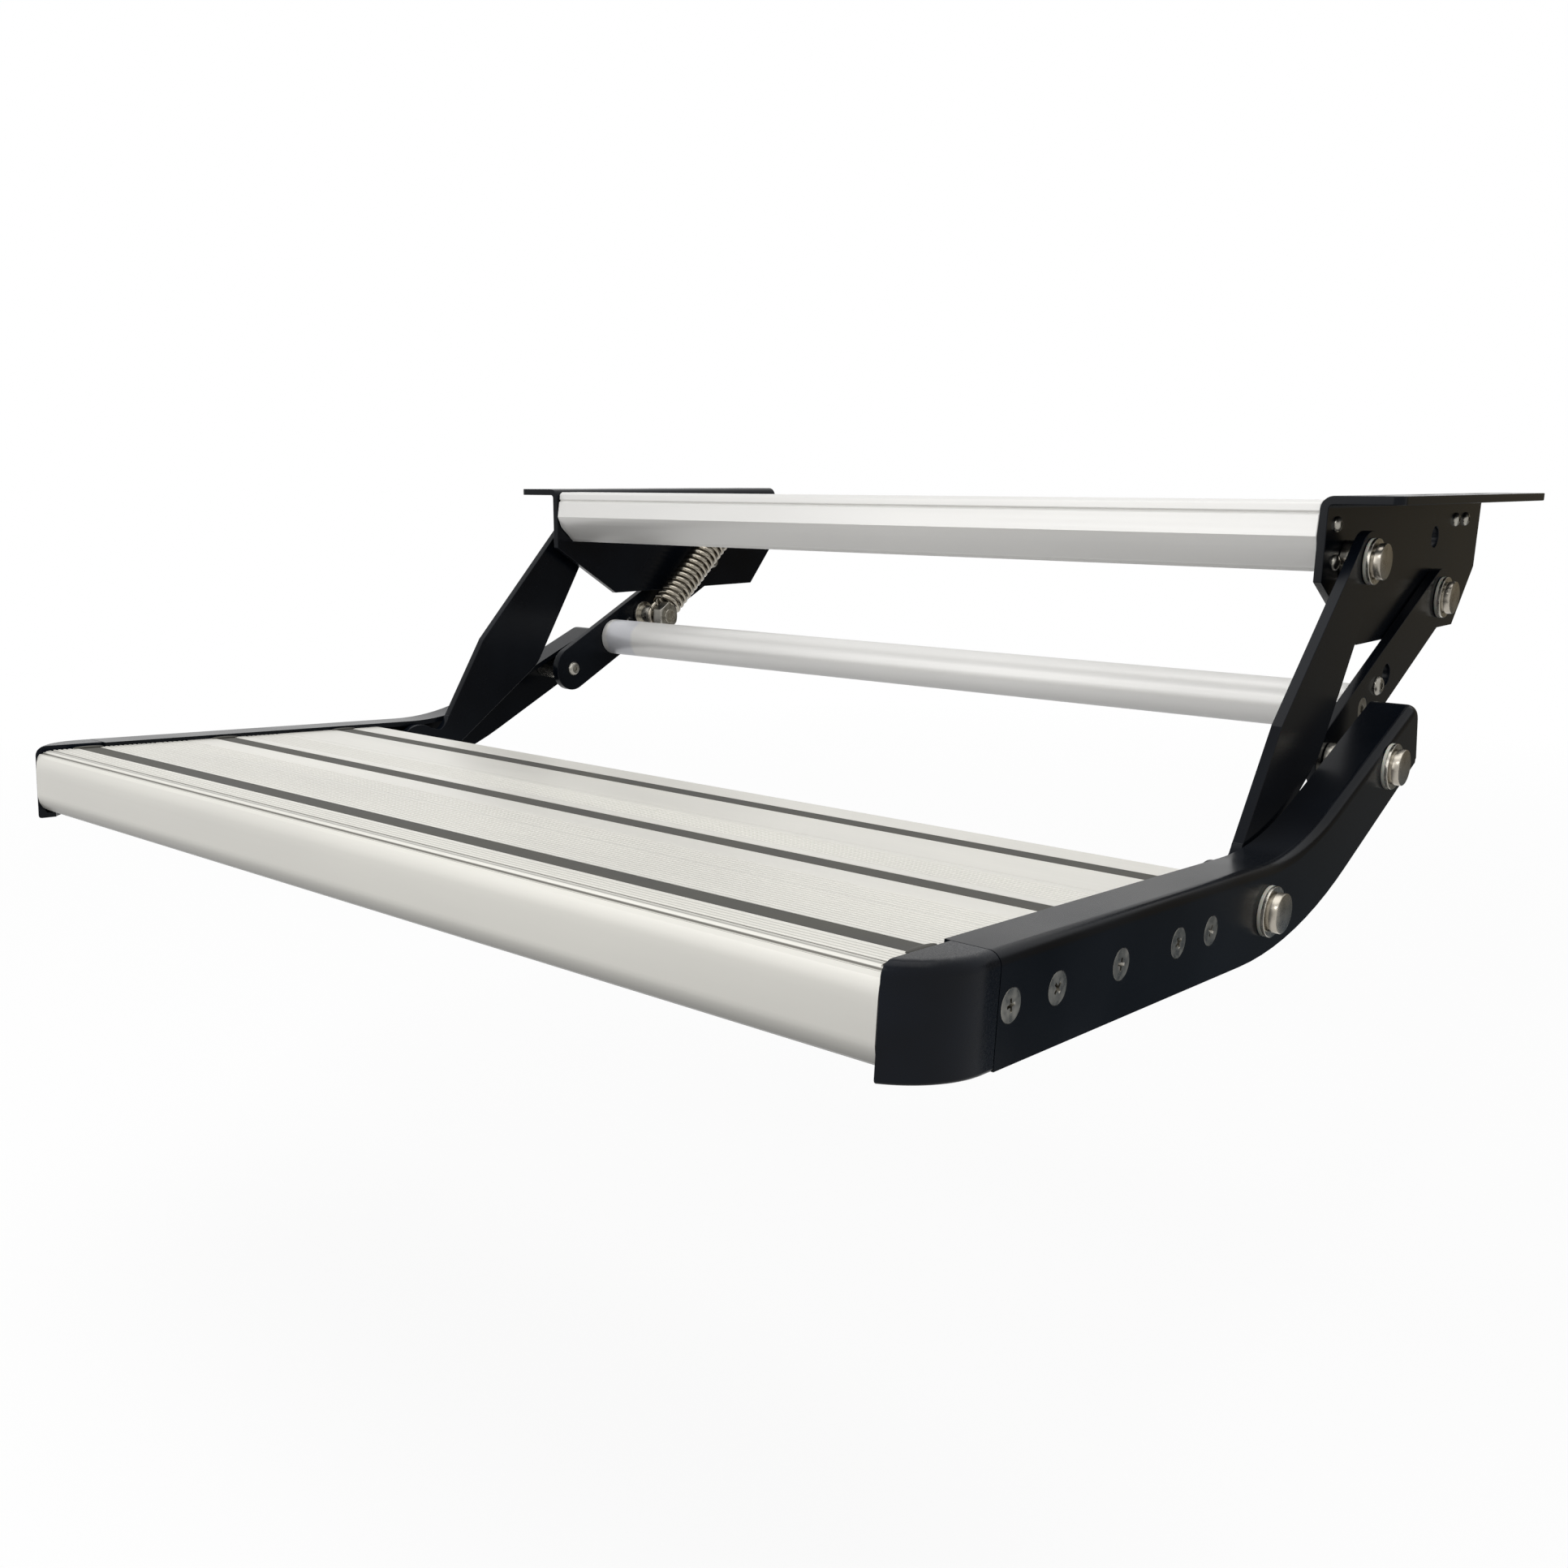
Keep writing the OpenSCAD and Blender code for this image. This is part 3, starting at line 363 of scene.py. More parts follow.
# %% Turned steel
def turned_steel(name, low, high, roughness, ring_mm):
    made, tree, shader = material(name, {"Metallic": 1.0})
    cloud = grain(tree, 6, seed=4.0)
    radius = add(tree, "ShaderNodeAttribute", {"attribute_name": "radius_mm"}).outputs["Fac"]
    settings = {"operation": "MULTIPLY", 1: 2 * math.pi / ring_mm}
    turns = add(tree, "ShaderNodeMath", settings, {0: radius}).outputs[0]
    ring = add(tree, "ShaderNodeMath", {"operation": "SINE"}, {0: turns}).outputs[0]
    colour = tones(tree, cloud, low, high)
    ends = (roughness - 0.02, roughness + 0.04)
    surface(tree, shader, colour, cloud, ends, ring, depth_mm=0.012, strength=0.8)
    return made


pin_steel = turned_steel("turned_stainless_steel", "#9E988D", "#B0AA9F", 0.27, 0.9)
print(pin_steel.name)

# %% [markdown]
# ## Washers, screws and wire
# Washers and spacers are stainless steel, barrel tumbled to a bright satin. The screws are zinc plated,
# greyer and duller, and the spring is cold drawn wire, whose skin stays nearly a mirror. All three are
# made the same way: a metal whose colour and sheen change in clouds a few millimetres wide.

# %% Washers, screws and wire
def plated(name, low, high, roughness, cloud_mm):
    made, tree, shader = material(name, {"Metallic": 1.0})
    cloud = grain(tree, cloud_mm, detail=1.0, seed=7.0)
    colour = tones(tree, cloud, low, high)
    ends = (roughness - 0.05, roughness + 0.08)
    surface(tree, shader, colour, cloud, ends, cloud, depth_mm=0.004, strength=0.3)
    return made


ring_steel = plated("stainless_steel_washers", "#ACA89F", "#C0BCB2", 0.24, 3.0)
screw_steel = plated("zinc_plated_screws", "#918E86", "#A19E96", 0.3, 3.5)
wire_steel = plated("drawn_spring_wire", "#8A8479", "#A09A8E", 0.12, 2.5)
print(ring_steel.name, screw_steel.name, wire_steel.name)

# %% [markdown]
# ## Finishes by slot
# The record of the part names a slot of finish for every node. Each slot gets one of the materials, so
# that a piece that is rebuilt below can find its finish by the node that it stands for.

# %% Finishes by slot
FINISHES = {
    "black_steel": coat,
    "black_cap": cap_plastic,
    "plank_aluminium": plank_finish,
    "beam_aluminium": beam_finish,
    "tube_aluminium": tube_finish,
    "stainless": ring_steel,
    "screw_steel": screw_steel,
    "spring_steel": wire_steel,
    "slip_plastic": washer_nylon,
    "plug_plastic": plug_plastic,
    "grip_rubber": rubber,
}


def dress(piece, finish):
    piece.data.materials.clear()
    piece.data.materials.append(finish)


for node_name, slot_name in slot_of_node.items():
    dress(nodes[node_name], FINISHES[slot_name])
print("finishes on", len(slot_of_node), "nodes")

# %% [markdown]
# ## Hand tools
# An operator acts on all that is selected, so each of these begins with nothing selected and then picks
# one piece. Copies get their own mesh, and are moved and turned in it, so that every object stays at the
# origin.

# %% Hand tools
def deselect():
    bpy.ops.object.select_all(action="DESELECT")


def pick(piece):
    """Makes one piece the only selected one, and the active one."""
    deselect()
    piece.select_set(True)
    bpy.context.view_layer.objects.active = piece


def edit(piece):
    """Opens one piece in edit mode with everything selected."""
    pick(piece)
    bpy.ops.object.mode_set(mode="EDIT")
    bpy.ops.mesh.select_all(action="SELECT")


def object_mode():
    bpy.ops.object.mode_set(mode="OBJECT")


def placed(master, name, matrix):
    """A copy of a piece with its own mesh, which the matrix moves and turns."""
    copy = bpy.data.objects.new(name, master.data.copy())
    copy.data.transform(matrix)
    bpy.context.scene.collection.objects.link(copy)
    return copy


def joined(name, parts):
    """One object of several parts."""
    pick(parts[0])
    for part in parts:
        part.select_set(True)
    bpy.ops.object.join()
    whole = bpy.context.object
    whole.name = name
    return whole


# %% [markdown]
# ## Smoothing and standing in
# Round faces are shaded smooth and creases kept sharp. Weighting the normals by area keeps flat faces
# flat next to a narrow bevel. A finished piece then stands for its CAD node: it rides on the same body
# and takes the same slot, and the node stays behind it for collision, hidden.

# %% Smoothing and standing in
CREASE = 35


def smooth(piece, angle=CREASE):
    pick(piece)
    bpy.ops.object.shade_smooth_by_angle(angle=math.radians(angle))


def even_normals(piece):
    pick(piece)
    weighted = piece.modifiers.new("even_normals", "WEIGHTED_NORMAL")
    weighted.keep_sharp = True
    bpy.ops.object.modifier_apply(modifier=weighted.name)


def keep(piece, node, finish=None):
    """The piece stands for a CAD node: same body, same slot of finishes."""
    dress(piece, finish or FINISHES[slot_of_node[node]])
    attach(piece, body_of_node[node])
    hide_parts(node)


print("creases are kept above", CREASE, "degrees")

# %% [markdown]
# ## Broken edges
# No real edge is a knife edge: the press rolls it, the coat thickens on it and the mould needs a radius,
# and each of them catches a thin line of light. The CAD solids have sharp edges, so a copy of each is
# merged into one skin, its flat triangles are joined into faces, and its edges get a narrow bevel. Planks
# already have their roundings in the CAD model, so theirs are only smoothed.

# %% Broken edges
BEVEL_ABOVE = 40
FLAT_WITHIN = 1


def broken_edges(node, edge_mm, crease=CREASE, merge_mm=0.01, clamp=False):
    """A merged copy of a CAD node, its edges bevelled by edge_mm and kept sharp above crease degrees."""
    piece = placed(nodes[node], node + "_finished", Matrix())
    edit(piece)
    bpy.ops.mesh.remove_doubles(threshold=merge_mm * MM)
    bpy.ops.mesh.dissolve_limited(angle_limit=math.radians(FLAT_WITHIN))
    object_mode()
    if edge_mm:
        bevel = piece.modifiers.new("edge", "BEVEL")
        bevel.width, bevel.segments = edge_mm * MM, 2
        bevel.limit_method, bevel.angle_limit = "ANGLE", math.radians(BEVEL_ABOVE)
        bevel.use_clamp_overlap = clamp
        bpy.ops.object.modifier_apply(modifier=bevel.name)
    smooth(piece, crease)
    even_normals(piece)
    keep(piece, node)
    return piece


print("edges over", BEVEL_ABOVE, "degrees are broken")

# %% [markdown]
# ## Edge widths
# The beam and the pressed plates have the widest edges, screws and small pins the narrowest. The beam's
# facets and the planks' ribs meet at small angles and stay crisp with a lower crease. The rails' long
# bends have short faces that a bevel would turn over, so theirs is held back by clamping.

# %% Edge widths
EDGES_MM = {
    "left_bracket": 0.4,
    "right_bracket": 0.4,
    "left_front_link": 0.4,
    "right_front_link": 0.4,
    "left_rear_link": 0.35,
    "right_rear_link": 0.35,
    "front_beam": 0.5,
    "rear_crossbar": 0.3,
    "nose_plank": 0,
    "middle_plank": 0,
    "rear_plank": 0,
    "cross_tube": 0.3,
    "tube_plugs": 0.2,
    "front_top_spacers": 0.2,
    "front_top_slip_washers": 0.25,
    "front_top_washers": 0.2,
    "rear_top_slip_washers": 0.25,
    "rear_top_washers": 0.2,
    "front_tread_spacers": 0.2,
    "rear_tread_spacers": 0.2,
    "tread_slip_washers": 0.25,
    "tread_washers": 0.2,
    "spring_anchor": 0.2,
    "post_bolt": 0.2,
    "post_sleeve": 0.2,
    "post_nut": 0.15,
    "spare_nut": 0.15,
    "rear_pin_ends": 0.1,
    "tube_screws": 0.12,
    "top_pin_screws": 0.12,
    "front_tread_screws": 0.12,
    "rear_pin_screws": 0.12,
    "spare_screw": 0.12,
    "left_corner_cap": 0.2,
    "right_corner_cap": 0.2,
}
CREASES = {"front_beam": 20, "nose_plank": 25, "middle_plank": 25, "rear_plank": 25}
RAILS = ("left_rail", "right_rail")
RAIL_EDGE_MM, RAIL_MERGE_MM = 0.3, 0.06
for node_name, edge_mm in EDGES_MM.items():
    broken_edges(node_name, edge_mm, CREASES.get(node_name, CREASE))
for node_name in RAILS:
    broken_edges(node_name, RAIL_EDGE_MM, merge_mm=RAIL_MERGE_MM, clamp=True)
print("edges broken on", len(EDGES_MM) + len(RAILS), "pieces")

# %% [markdown]
# ## Strip ends
# Each rubber strip is cut a little long and squeezed under the rails' inner edges, where it bulges. A
# bulge is a ball flattened to a bead and drawn out along the rail. It is modelled once and copied to the
# six ends.

# %% Strip ends
BEAD_LONG, BEAD_WIDE, BEAD_HIGH = 17.0, 3.4, 1.5
BEAD_SET_IN = 1.2
STRIPS = ("nose_strip", "middle_strip", "rear_strip")

deselect()
bpy.ops.mesh.primitive_uv_sphere_add(segments=24, ring_count=12, radius=1)
bead = bpy.context.object
bead.rotation_euler = (math.pi / 2 - math.radians(TREAD_TILT), 0, 0)
bead.scale = (BEAD_WIDE / 2 * MM, BEAD_HIGH / 2 * MM, BEAD_LONG / 2 * MM)
bpy.ops.object.transform_apply(location=True, rotation=True, scale=True)
smooth(bead, angle=60)
dress(bead, rubber)
for node_name in STRIPS:
    low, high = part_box(node_name)
    for side, x in (("left", low.x + BEAD_SET_IN * MM), ("right", high.x - BEAD_SET_IN * MM)):
        end = Matrix.Translation((x, (low.y + high.y) / 2, high.z))
        lump = placed(bead, node_name + "_end_" + side, end)
        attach(lump, "tread")
    print(node_name, "ends at", round(low.x / MM, 1), round(high.x / MM, 1))
bpy.data.objects.remove(bead)

# %% [markdown]
# ## Seats of the turned pieces
# Pins and screws come as one node with several solids. Each solid's own box tells where its head sits,
# which way it faces and how long it is, so a turned piece can be modelled once and copied to all its
# seats. Screws may each be driven home by another angle.

# %% Seats of the turned pieces
def solid_boxes(node):
    """The lowest and highest corner of each solid of a node, from left to right and front to back."""
    skin = bmesh.new()
    skin.from_mesh(nodes[node].data)
    bmesh.ops.remove_doubles(skin, verts=skin.verts, dist=0.01 * MM)
    left, boxes = set(skin.verts), []
    while left:
        group, rim = set(), [left.pop()]
        while rim:
            vertex = rim.pop()
            group.add(vertex)
            near = {e.other_vert(vertex) for e in vertex.link_edges} & left
            left -= near
            rim.extend(near)
        sides = list(zip(*(v.co for v in group)))
        boxes.append((Vector([min(side) for side in sides]), Vector([max(side) for side in sides])))
    skin.free()
    return sorted(boxes, key=lambda b: (round(b[0].x, 3), round(b[0].y, 4)))


def seats(node, head_mm, turn_deg=0):
    """For each solid the matrix that brings a piece to its seat, and its length behind that seat in mm."""
    found = []
    for index, (low, high) in enumerate(solid_boxes(node)):
        outward = 1 if low.x > 0 else -1
        tip, tail = (high.x, low.x) if outward > 0 else (low.x, high.x)
        seat = Vector((tip - outward * head_mm * MM, (low.y + high.y) / 2, (low.z + high.z) / 2))
        facing = Matrix() if outward > 0 else Matrix.Rotation(math.pi, 4, "Z")
        driven = Matrix.Rotation(math.radians(turn_deg * index), 4, "X")
        found.append((Matrix.Translation(seat) @ driven @ facing, abs(seat.x - tail) / MM))
    return found


print("rail screws", len(seats("rail_screws", 0)))

# %% [markdown]
# ## The lathe
# A lathe cuts a profile. The piece starts from a circle round the X axis, which is pulled through the
# profile's steps with extrude and resize, and both ends are closed with a fan of faces round a middle
# point. Each point's distance from the axis is kept as an attribute, for the tool's rings.

# %% The lathe
CHAMFER = 0.3


def turned(profile, sides=64):
    """A lathe piece along X, with its seat at the origin: profile is (radius, advance) in millimetres."""
    deselect()
    middle = Vector((profile[0][1] * MM, 0, 0))
    bpy.ops.mesh.primitive_circle_add(
        vertices=sides, radius=profile[0][0] * MM, location=middle, rotation=(0, math.pi / 2, 0)
    )
    piece = bpy.context.object
    bpy.ops.object.transform_apply(location=True, rotation=True, scale=True)
    edit(piece)
    bpy.ops.mesh.edge_face_add()
    bpy.ops.mesh.poke()
    bpy.ops.mesh.select_all(action="DESELECT")
    bpy.ops.mesh.select_non_manifold(use_boundary=True)
    for (r0, a0), (r1, a1) in zip(profile, profile[1:]):
        step = Vector(((a1 - a0) * MM, 0, 0))
        middle = middle + step
        bpy.ops.mesh.extrude_edges_move(TRANSFORM_OT_translate={"value": step})
        bpy.ops.transform.resize(value=(1, r1 / r0, r1 / r0), center_override=middle)
    bpy.ops.mesh.edge_face_add()
    bpy.ops.mesh.poke()
    bpy.ops.mesh.select_all(action="SELECT")
    bpy.ops.mesh.normals_make_consistent(inside=False)
    object_mode()
    radii = piece.data.attributes.new("radius_mm", "FLOAT", "POINT")
    for vertex, spot in zip(piece.data.vertices, radii.data):
        spot.value = vertex.co.yz.length / MM
    smooth(piece)
    return piece


print("a chamfer is", CHAMFER, "mm")

# %% [markdown]
# ## Turned pins
# Each pivot ends in a turned head: a narrow groove next to the washer, a short straight side and a flat
# face. Behind it come the shank, which carries the link, and a thinner neck with a bore for the screw
# that holds the pin. The rear tread pins have no neck, because their inner end belongs to the rear link.

# %% Turned pins
HEAD_R, HEAD_T, SHANK_R, NECK_R, BORE_R = 8.5, 4.2, 6.0, 4.0, 2.5
GROOVE_T, GROOVE_DEEP, BACK_EDGE = 0.95, 1, 0.15
FRONT_ROUNDING = [(0, 0.45), (0.2, 0.12), (0.5, 0)]
PIN_HEAD = [
    (HEAD_R - GROOVE_DEEP, 0),
    (HEAD_R - GROOVE_DEEP, GROOVE_T),
    (HEAD_R - BACK_EDGE, GROOVE_T),
    (HEAD_R, GROOVE_T + BACK_EDGE),
]
PIN_HEAD += [(HEAD_R - inward, HEAD_T - back) for inward, back in FRONT_ROUNDING]
NECK_AND_BORE_MM = {
    "front_top_pins": (4.0, 13.9),
    "rear_top_pins": (4.0, 13.9),
    "front_tread_pins": (5.6, 13.3),
    "rear_tread_pins": (0, 0),
}


def pin_profile(long_mm, neck_mm, bore_mm):
    """Bore, neck, shank and head, from the bottom of the bore to the face of the head."""
    if not neck_mm:
        return [(SHANK_R - CHAMFER, -long_mm), (SHANK_R, CHAMFER - long_mm), (SHANK_R, 0)] + PIN_HEAD
    bore = [(BORE_R, bore_mm - long_mm), (BORE_R, -long_mm)]
    neck = [(NECK_R - CHAMFER, -long_mm), (NECK_R, CHAMFER - long_mm), (NECK_R, neck_mm - long_mm)]
    return bore + neck + [(SHANK_R, neck_mm - long_mm), (SHANK_R, 0)] + PIN_HEAD


for node_name, (neck_mm, bore_mm) in NECK_AND_BORE_MM.items():
    places = seats(node_name, HEAD_T)
    pin = turned(pin_profile(places[0][1], neck_mm, bore_mm))
    pins = joined(node_name + "_turned", [placed(pin, "pin", place) for place, _ in places])
    bpy.data.objects.remove(pin)
    keep(pins, node_name, pin_steel)
    print(pins.name, len(pins.data.vertices), "points")

# %% [markdown]
# ## Cutting a recess
# A driver's cross recess is cut with two tapered blades, each a bar whose inner end is drawn together. A
# boolean takes the blade's shape out of the head, and the blade is thrown away.

# %% Cutting a recess
RECESS_WIDE, RECESS_THICK, RECESS_DEEP = 7.2, 1.5, 2.3
RECESS_TAPER = (1, 0.35, 0.55)


def blade(turn_deg):
    """One tapered wing of a driver, half in and half out of the face of a head at the origin."""
    deselect()
    bpy.ops.mesh.primitive_cube_add(size=1)
    wing = bpy.context.object
    wing.scale = (2 * RECESS_DEEP * MM, RECESS_WIDE * MM, RECESS_THICK * MM)
    bpy.ops.object.transform_apply(location=False, rotation=False, scale=True)
    edit(wing)
    bpy.ops.mesh.select_all(action="DESELECT")
    object_mode()
    for vertex in wing.data.vertices:
        vertex.select = vertex.co.x < 0
    bpy.ops.object.mode_set(mode="EDIT")
    bpy.ops.transform.resize(value=RECESS_TAPER, center_override=(0, 0, 0))
    object_mode()
    wing.rotation_euler = (math.radians(turn_deg), 0, 0)
    bpy.ops.object.transform_apply(location=True, rotation=True, scale=True)
    return wing


def cut(piece, cutter):
    boolean = piece.modifiers.new("cut", "BOOLEAN")
    boolean.operation, boolean.object, boolean.solver = "DIFFERENCE", cutter, "EXACT"
    pick(piece)
    bpy.ops.object.modifier_apply(modifier=boolean.name)
    bpy.data.objects.remove(cutter)


print("recess", RECESS_WIDE, "mm across and", RECESS_DEEP, "mm deep")

# %% [markdown]
# ## Rail screws
# Ten countersunk screws hold the rails to the planks. A countersunk head is a cone with a thin rim, flush
# with the rail. One screw is turned and cut, and every copy is turned on its axis by another angle,
# because nobody lines up the slots.

# %% Rail screws
SCREW_R, SCREW_LONG, SCREW_SHANK_R, SCREW_NECK_AT = 5.95, 20.9, 2.9, 3.0
CONE_STEP, RIM, FACE_EDGE = 0.1, 0.15, 0.1
ANGLE_BETWEEN = 37
profile = [
    (SCREW_SHANK_R - CHAMFER, -SCREW_LONG),
    (SCREW_SHANK_R, CHAMFER - SCREW_LONG),
    (SCREW_SHANK_R, -SCREW_NECK_AT),
    (SCREW_SHANK_R + CONE_STEP, CONE_STEP / 2 - SCREW_NECK_AT),
    (SCREW_R - RIM, -2 * RIM),
    (SCREW_R, -RIM),
    (SCREW_R - FACE_EDGE, 0),
]
screw = turned(profile, sides=40)
for quarter in (0, 90):
    cut(screw, blade(quarter))
smooth(screw)
even_normals(screw)
copies = [placed(screw, "screw", place) for place, _ in seats("rail_screws", 0, ANGLE_BETWEEN)]
bpy.data.objects.remove(screw)
rail_screws = joined("rail_screws_recessed", copies)
keep(rail_screws, "rail_screws")
print(rail_screws.name, len(copies), "screws")

# %% [markdown]
# ## Domed screws
# The beam and the cross bar are held through the brackets by domed screws with a hexagon socket. The dome
# is a profile of small steps up a quarter circle, and the socket is a six-sided prism cut out of it. One
# screw serves both nodes.

# %% Domed screws
DOME_R, DOME_H, DOME_RIM, DOME_SHANK_R, DOME_SHANK = 3.7, 2.3, 0.35, 1.8, 18.0
SOCKET_ACROSS, SOCKET_DEEP, CUTTER_LONG = 2.5, 1.4, 4


def dome_profile():
    """Shank, flat underside and a dome that rises from a short rim."""
    shank = [(DOME_SHANK_R - CHAMFER, -DOME_SHANK), (DOME_SHANK_R, CHAMFER - DOME_SHANK), (DOME_SHANK_R, 0)]
    steps = [math.radians(a) for a in range(0, 76, 15)]
    rise = [(DOME_R * math.cos(a), DOME_RIM + (DOME_H - DOME_RIM) * math.sin(a)) for a in steps]
    return shank + [(DOME_R, 0)] + rise


domed = turned(dome_profile(), sides=40)
deselect()
bpy.ops.mesh.primitive_cylinder_add(
    vertices=6,
    radius=SOCKET_ACROSS / 2 / math.cos(math.pi / 6) * MM,
    depth=CUTTER_LONG * MM,
    location=((DOME_H - SOCKET_DEEP + CUTTER_LONG / 2) * MM, 0, 0),
    rotation=(0, math.pi / 2, 0),
)
socket = bpy.context.object
bpy.ops.object.transform_apply(location=True, rotation=True, scale=True)
cut(domed, socket)
smooth(domed)
even_normals(domed)
for node_name in ("beam_screws", "crossbar_screws"):
    copies = [placed(domed, "screw", place) for place, _ in seats(node_name, DOME_H)]
    screws = joined(node_name + "_domed", copies)
    keep(screws, node_name)
    print(screws.name, len(copies), "screws")
bpy.data.objects.remove(domed)

# %% [markdown]
# ## The spring's middle line
# The spring is one unbroken wire: a close coil whose end turns are bent up into full loops, one round the
# anchor on the bracket and one round the post on the link. Its middle line is written along the line from
# the anchor to the post first, as a distance along it and two across it.

# %% The spring's middle line
WIRE_R, COIL_R, COIL_PITCH = 1.75, 8.9, 4.33
ANCHOR_GROOVE_R, ANCHOR_GAP = 4.0, 0.3
SLEEVE_R, SLEEVE_GAP = 6.3, 0.2
POINTS_PER_TURN, LOOP_POINTS, LOOP_DEGREES = 24, 44, 285


def middle_yz(node):
    low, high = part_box(node)
    return Vector(((low.y + high.y) / 2, (low.z + high.z) / 2)) / MM


anchor_mm, post_mm = middle_yz("spring_anchor"), middle_yz("post_sleeve")
span = (post_mm - anchor_mm).length
coil_start = COIL_R - WIRE_R - ANCHOR_GROOVE_R - ANCHOR_GAP + COIL_R
coil_end = span - (COIL_R - WIRE_R - SLEEVE_R - SLEEVE_GAP) - COIL_R
turn_count = math.floor((coil_end - coil_start) / COIL_PITCH)
rise = (coil_end - coil_start) / turn_count


def ease(t):
    t = min(max(t, 0), 1)
    return t * t * (3 - 2 * t)


def loop_point(b, base, sign):
    """A point of an end loop, b radians from the coil: the turn swings into the plane of the axis."""
    sideways = COIL_R * (1 - ease(b / (math.pi / 2)))
    return (base + sign * COIL_R * (1 - math.cos(b)), sideways, sign * COIL_R * math.sin(b))


loop_angles = [math.radians(LOOP_DEGREES) * k / LOOP_POINTS for k in range(1, LOOP_POINTS + 1)]
path = [loop_point(b, coil_start, -1) for b in reversed(loop_angles)]
for i in range(turn_count * POINTS_PER_TURN + 1):
    a = 2 * math.pi * i / POINTS_PER_TURN
    path.append((coil_start + rise * i / POINTS_PER_TURN, COIL_R * math.cos(a), COIL_R * math.sin(a)))
path += [loop_point(b, coil_end, 1) for b in loop_angles]
print("spring", turn_count, "turns, rise", round(rise, 2), "mm,", len(path), "points")

# %% [markdown]
# ## Winding the spring
# The middle line is carried to its place inside the left bracket, where it leans a little, since the
# anchor stands further in than the post. A curve takes its points and the wire's thickness, and is then
# made a mesh.

# %% Winding the spring
INNER_X, ANCHOR_SET_IN, POST_SET_IN = 258.0, 20.0, 12.0
along = (post_mm - anchor_mm) / span
across = Vector((-along.y, along.x))


def in_place(point):
    lean = ANCHOR_SET_IN + (POST_SET_IN - ANCHOR_SET_IN) * point[0] / span
    spot = anchor_mm + along * point[0] + across * point[2]
    return Vector((-(INNER_X - lean) - point[1], spot.x, spot.y)) * MM


wire = bpy.data.curves.new("spring_wire", "CURVE")
wire.dimensions = "3D"
wire.bevel_depth, wire.bevel_resolution, wire.use_fill_caps = WIRE_R * MM, 5, True
line = wire.splines.new("POLY")
line.points.add(len(path) - 1)
for spot, point in zip(line.points, path):
    spot.co = (*in_place(point), 1)
spring = bpy.data.objects.new("return_spring_wound", wire)
bpy.context.scene.collection.objects.link(spring)
pick(spring)
bpy.ops.object.convert(target="MESH")
spring = bpy.context.object
edit(spring)
bpy.ops.mesh.remove_doubles(threshold=0.001 * MM)
bpy.ops.mesh.normals_make_consistent(inside=False)
object_mode()
smooth(spring, angle=50)
keep(spring, "return_spring")

# %% [markdown]
# ## Background and room
# The step is lit as on a photographer's white table. Camera, mirrored and transmitted rays see pure
# white. All other rays see a dim room, dark below and brighter overhead, so that black plates stay black
# and undersides turn grey.

# %% Background and room
ROOM_LOW, ROOM_HIGH = 0.06, 0.64
DARK_BELOW, BRIGHT_ABOVE = -0.7, 0.8
COOL_BELOW, WARM_ABOVE = 0.0, 0.5
world = bpy.data.worlds.new("studio")
bpy.context.scene.world = world
world.use_nodes = True
tree = world.node_tree
tree.nodes.clear()
ray = add(tree, "ShaderNodeLightPath").outputs
sources = {0: ray["Is Camera Ray"], 1: ray["Is Transmission Ray"]}
straight = add(tree, "ShaderNodeMath", {"operation": "MAXIMUM"}, sources)
sources = {0: straight.outputs[0], 1: ray["Is Glossy Ray"]}
seen = add(tree, "ShaderNodeMath", {"operation": "MAXIMUM"}, sources)
place = add(tree, "ShaderNodeTexCoord")
upward = add(tree, "ShaderNodeSeparateXYZ", {}, {0: place.outputs["Generated"]}).outputs["Z"]
settings = {"From Min": DARK_BELOW, "From Max": BRIGHT_ABOVE, "To Min": ROOM_LOW, "To Max": ROOM_HIGH}
level = add(tree, "ShaderNodeMapRange", settings, {"Value": upward})
settings = {"From Min": COOL_BELOW, "From Max": WARM_ABOVE}
warmth = add(tree, "ShaderNodeMapRange", settings, {"Value": upward})
settings = {"data_type": "RGBA", 6: linear("#F4F4F8"), 7: linear("#FFFFFF")}
tint = add(tree, "ShaderNodeMix", settings, {0: warmth.outputs[0]})
sources = {"Color": tint.outputs[2], "Strength": level.outputs[0]}
room = add(tree, "ShaderNodeBackground", {}, sources)
white = add(tree, "ShaderNodeBackground", {"Color": (1, 1, 1, 1), "Strength": 1.0})
sources = {0: seen.outputs[0], 1: room.outputs[0], 2: white.outputs[0]}
mix = add(tree, "ShaderNodeMixShader", {}, sources)
add(tree, "ShaderNodeOutputWorld", {}, {0: mix.outputs[0]})
bpy.context.scene.view_settings.view_transform = "Standard"
print("room from", ROOM_LOW, "below to", ROOM_HIGH, "overhead")

# %% [markdown]
# ## Lamps
# One large soft lamp hangs above and one stands low in front on the left. A third, small as a window,
# stands high in front and gives the steel its short glints.

# %% Lamps
STEP_MIDDLE = (0, -0.2, -0.1)
LAMPS = {
    "above": ((0.1, -0.3, 1.7), 1.6, 12),
    "front": ((-0.7, -1.9, 0.5), 1.4, 11),
    "window": ((0.5, -1.6, 1.0), 0.25, 3),
}
for name, (place, size, power) in LAMPS.items():
    light = bpy.data.lights.new(name, "AREA")
    light.size, light.energy = size, power
    lamp = bpy.data.objects.new(name, light)
    bpy.context.scene.collection.objects.link(lamp)
    lamp.location = place
    lamp.rotation_euler = (Vector(STEP_MIDDLE) - Vector(place)).to_track_quat("-Z", "Y").to_euler()
    print(name, "lamp", size, "m wide,", power, "W")

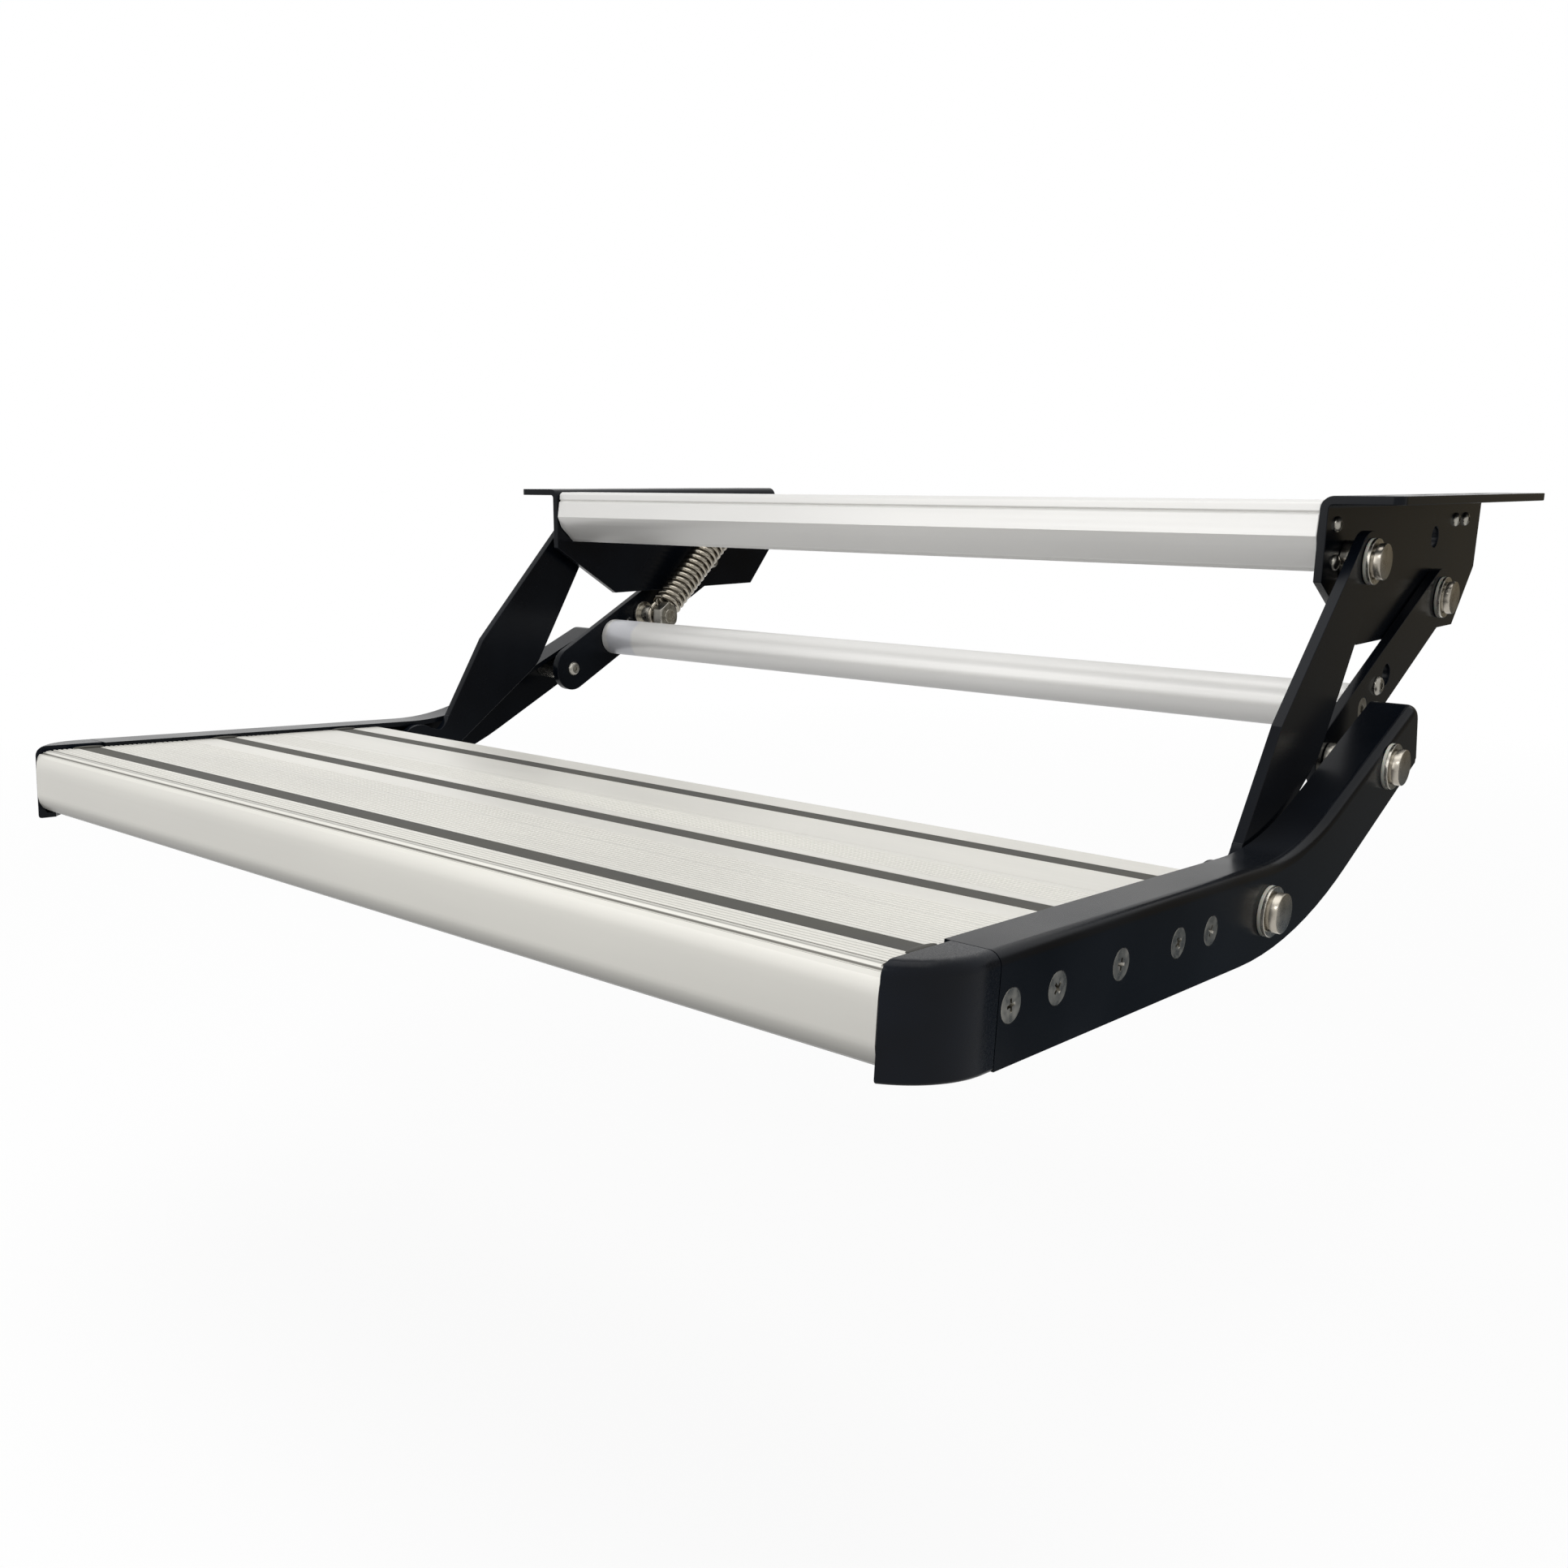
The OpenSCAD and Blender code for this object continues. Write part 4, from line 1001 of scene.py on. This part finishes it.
# %% [markdown]
# ## Grey board
# A photographer keeps black paint black with a grey board at the side that the paint mirrors. This one
# stands behind the step on the right, and only mirrored rays see it. It is bluish below and warm at its
# middle.

# %% Grey board
BOARD_PLACE, BOARD_SIZE = (1.1, 1.7, -0.3), (2.4, 2.0, 1)
BLUE_BELOW, WARM_FROM = -0.3, 0.1
bpy.ops.mesh.primitive_plane_add(size=1, location=BOARD_PLACE, rotation=(math.pi / 2, 0, 0))
board = bpy.context.object
board.name = "board"
board.scale = BOARD_SIZE
grey, tree, shader = material("grey_board")
place = add(tree, "ShaderNodeTexCoord")
height = add(tree, "ShaderNodeSeparateXYZ", {}, {0: place.outputs["Object"]}).outputs["Y"]
settings = {"From Min": BLUE_BELOW, "From Max": WARM_FROM}
blend = add(tree, "ShaderNodeMapRange", settings, {"Value": height})
settings = {"data_type": "RGBA", 6: linear("#58626C"), 7: linear("#787060")}
shade = add(tree, "ShaderNodeMix", settings, {0: blend.outputs[0]})
glow = add(tree, "ShaderNodeEmission", {"Strength": 1.0}, {"Color": shade.outputs[2]})
tree.links.new(glow.outputs[0], tree.nodes["Material Output"].inputs["Surface"])
dress(board, grey)
board.visible_camera = False
board.visible_diffuse = False
board.visible_shadow = False
board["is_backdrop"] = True
print("board", [round(v, 2) for v in board.dimensions])

# %% [markdown]
# ## Floor
# The floor lies well below the hanging step and keeps its soft shadow. It is white, and fades into the
# white background with distance. Mirrored rays pass it, so that metal shows the white of the background.

# %% Floor
FLOOR_DROP_MM, FLOOR_R = 260, 12
FADE_START, FADE_END, WHITE_NEAR = 0.5, 2.2, 0.88
floor_place = (0, 0, cad_low.z - FLOOR_DROP_MM * MM)
deselect()
bpy.ops.mesh.primitive_circle_add(vertices=96, radius=FLOOR_R, fill_type="TRIFAN", location=floor_place)
floor = bpy.context.object
floor.name = "floor"
sockets = {"Roughness": 0.9, "Specular IOR Level": 0.0, "Base Color": linear("#FFFFFF")}
pale, tree, shader = material("pale_floor", sockets)
spot = add(tree, "ShaderNodeTexCoord").outputs["Object"]
reach = add(tree, "ShaderNodeVectorMath", {"operation": "LENGTH"}, {0: spot}).outputs["Value"]
settings = {"From Min": FADE_START, "From Max": FADE_END, "To Min": WHITE_NEAR, "To Max": 1.0}
far = add(tree, "ShaderNodeMapRange", settings, {"Value": reach})
glow = add(tree, "ShaderNodeEmission", {"Color": (1, 1, 1, 1), "Strength": 1.0})
sources = {0: far.outputs[0], 1: shader.outputs[0], 2: glow.outputs[0]}
blend = add(tree, "ShaderNodeMixShader", {}, sources)
tree.links.new(blend.outputs[0], tree.nodes["Material Output"].inputs["Surface"])
dress(floor, pale)
floor.visible_glossy = False
floor.visible_diffuse = False
floor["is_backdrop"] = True
print("floor at", round(floor.location.z / MM), "mm")

# %% [markdown]
# ## Sizes
# The dressed step has to stay as large as the CAD model, because it is used in its place. Both boxes are
# written out.

# %% Sizes
low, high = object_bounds()
print("size in mm", [round((b - a) / MM, 1) for a, b in zip(low, high)])
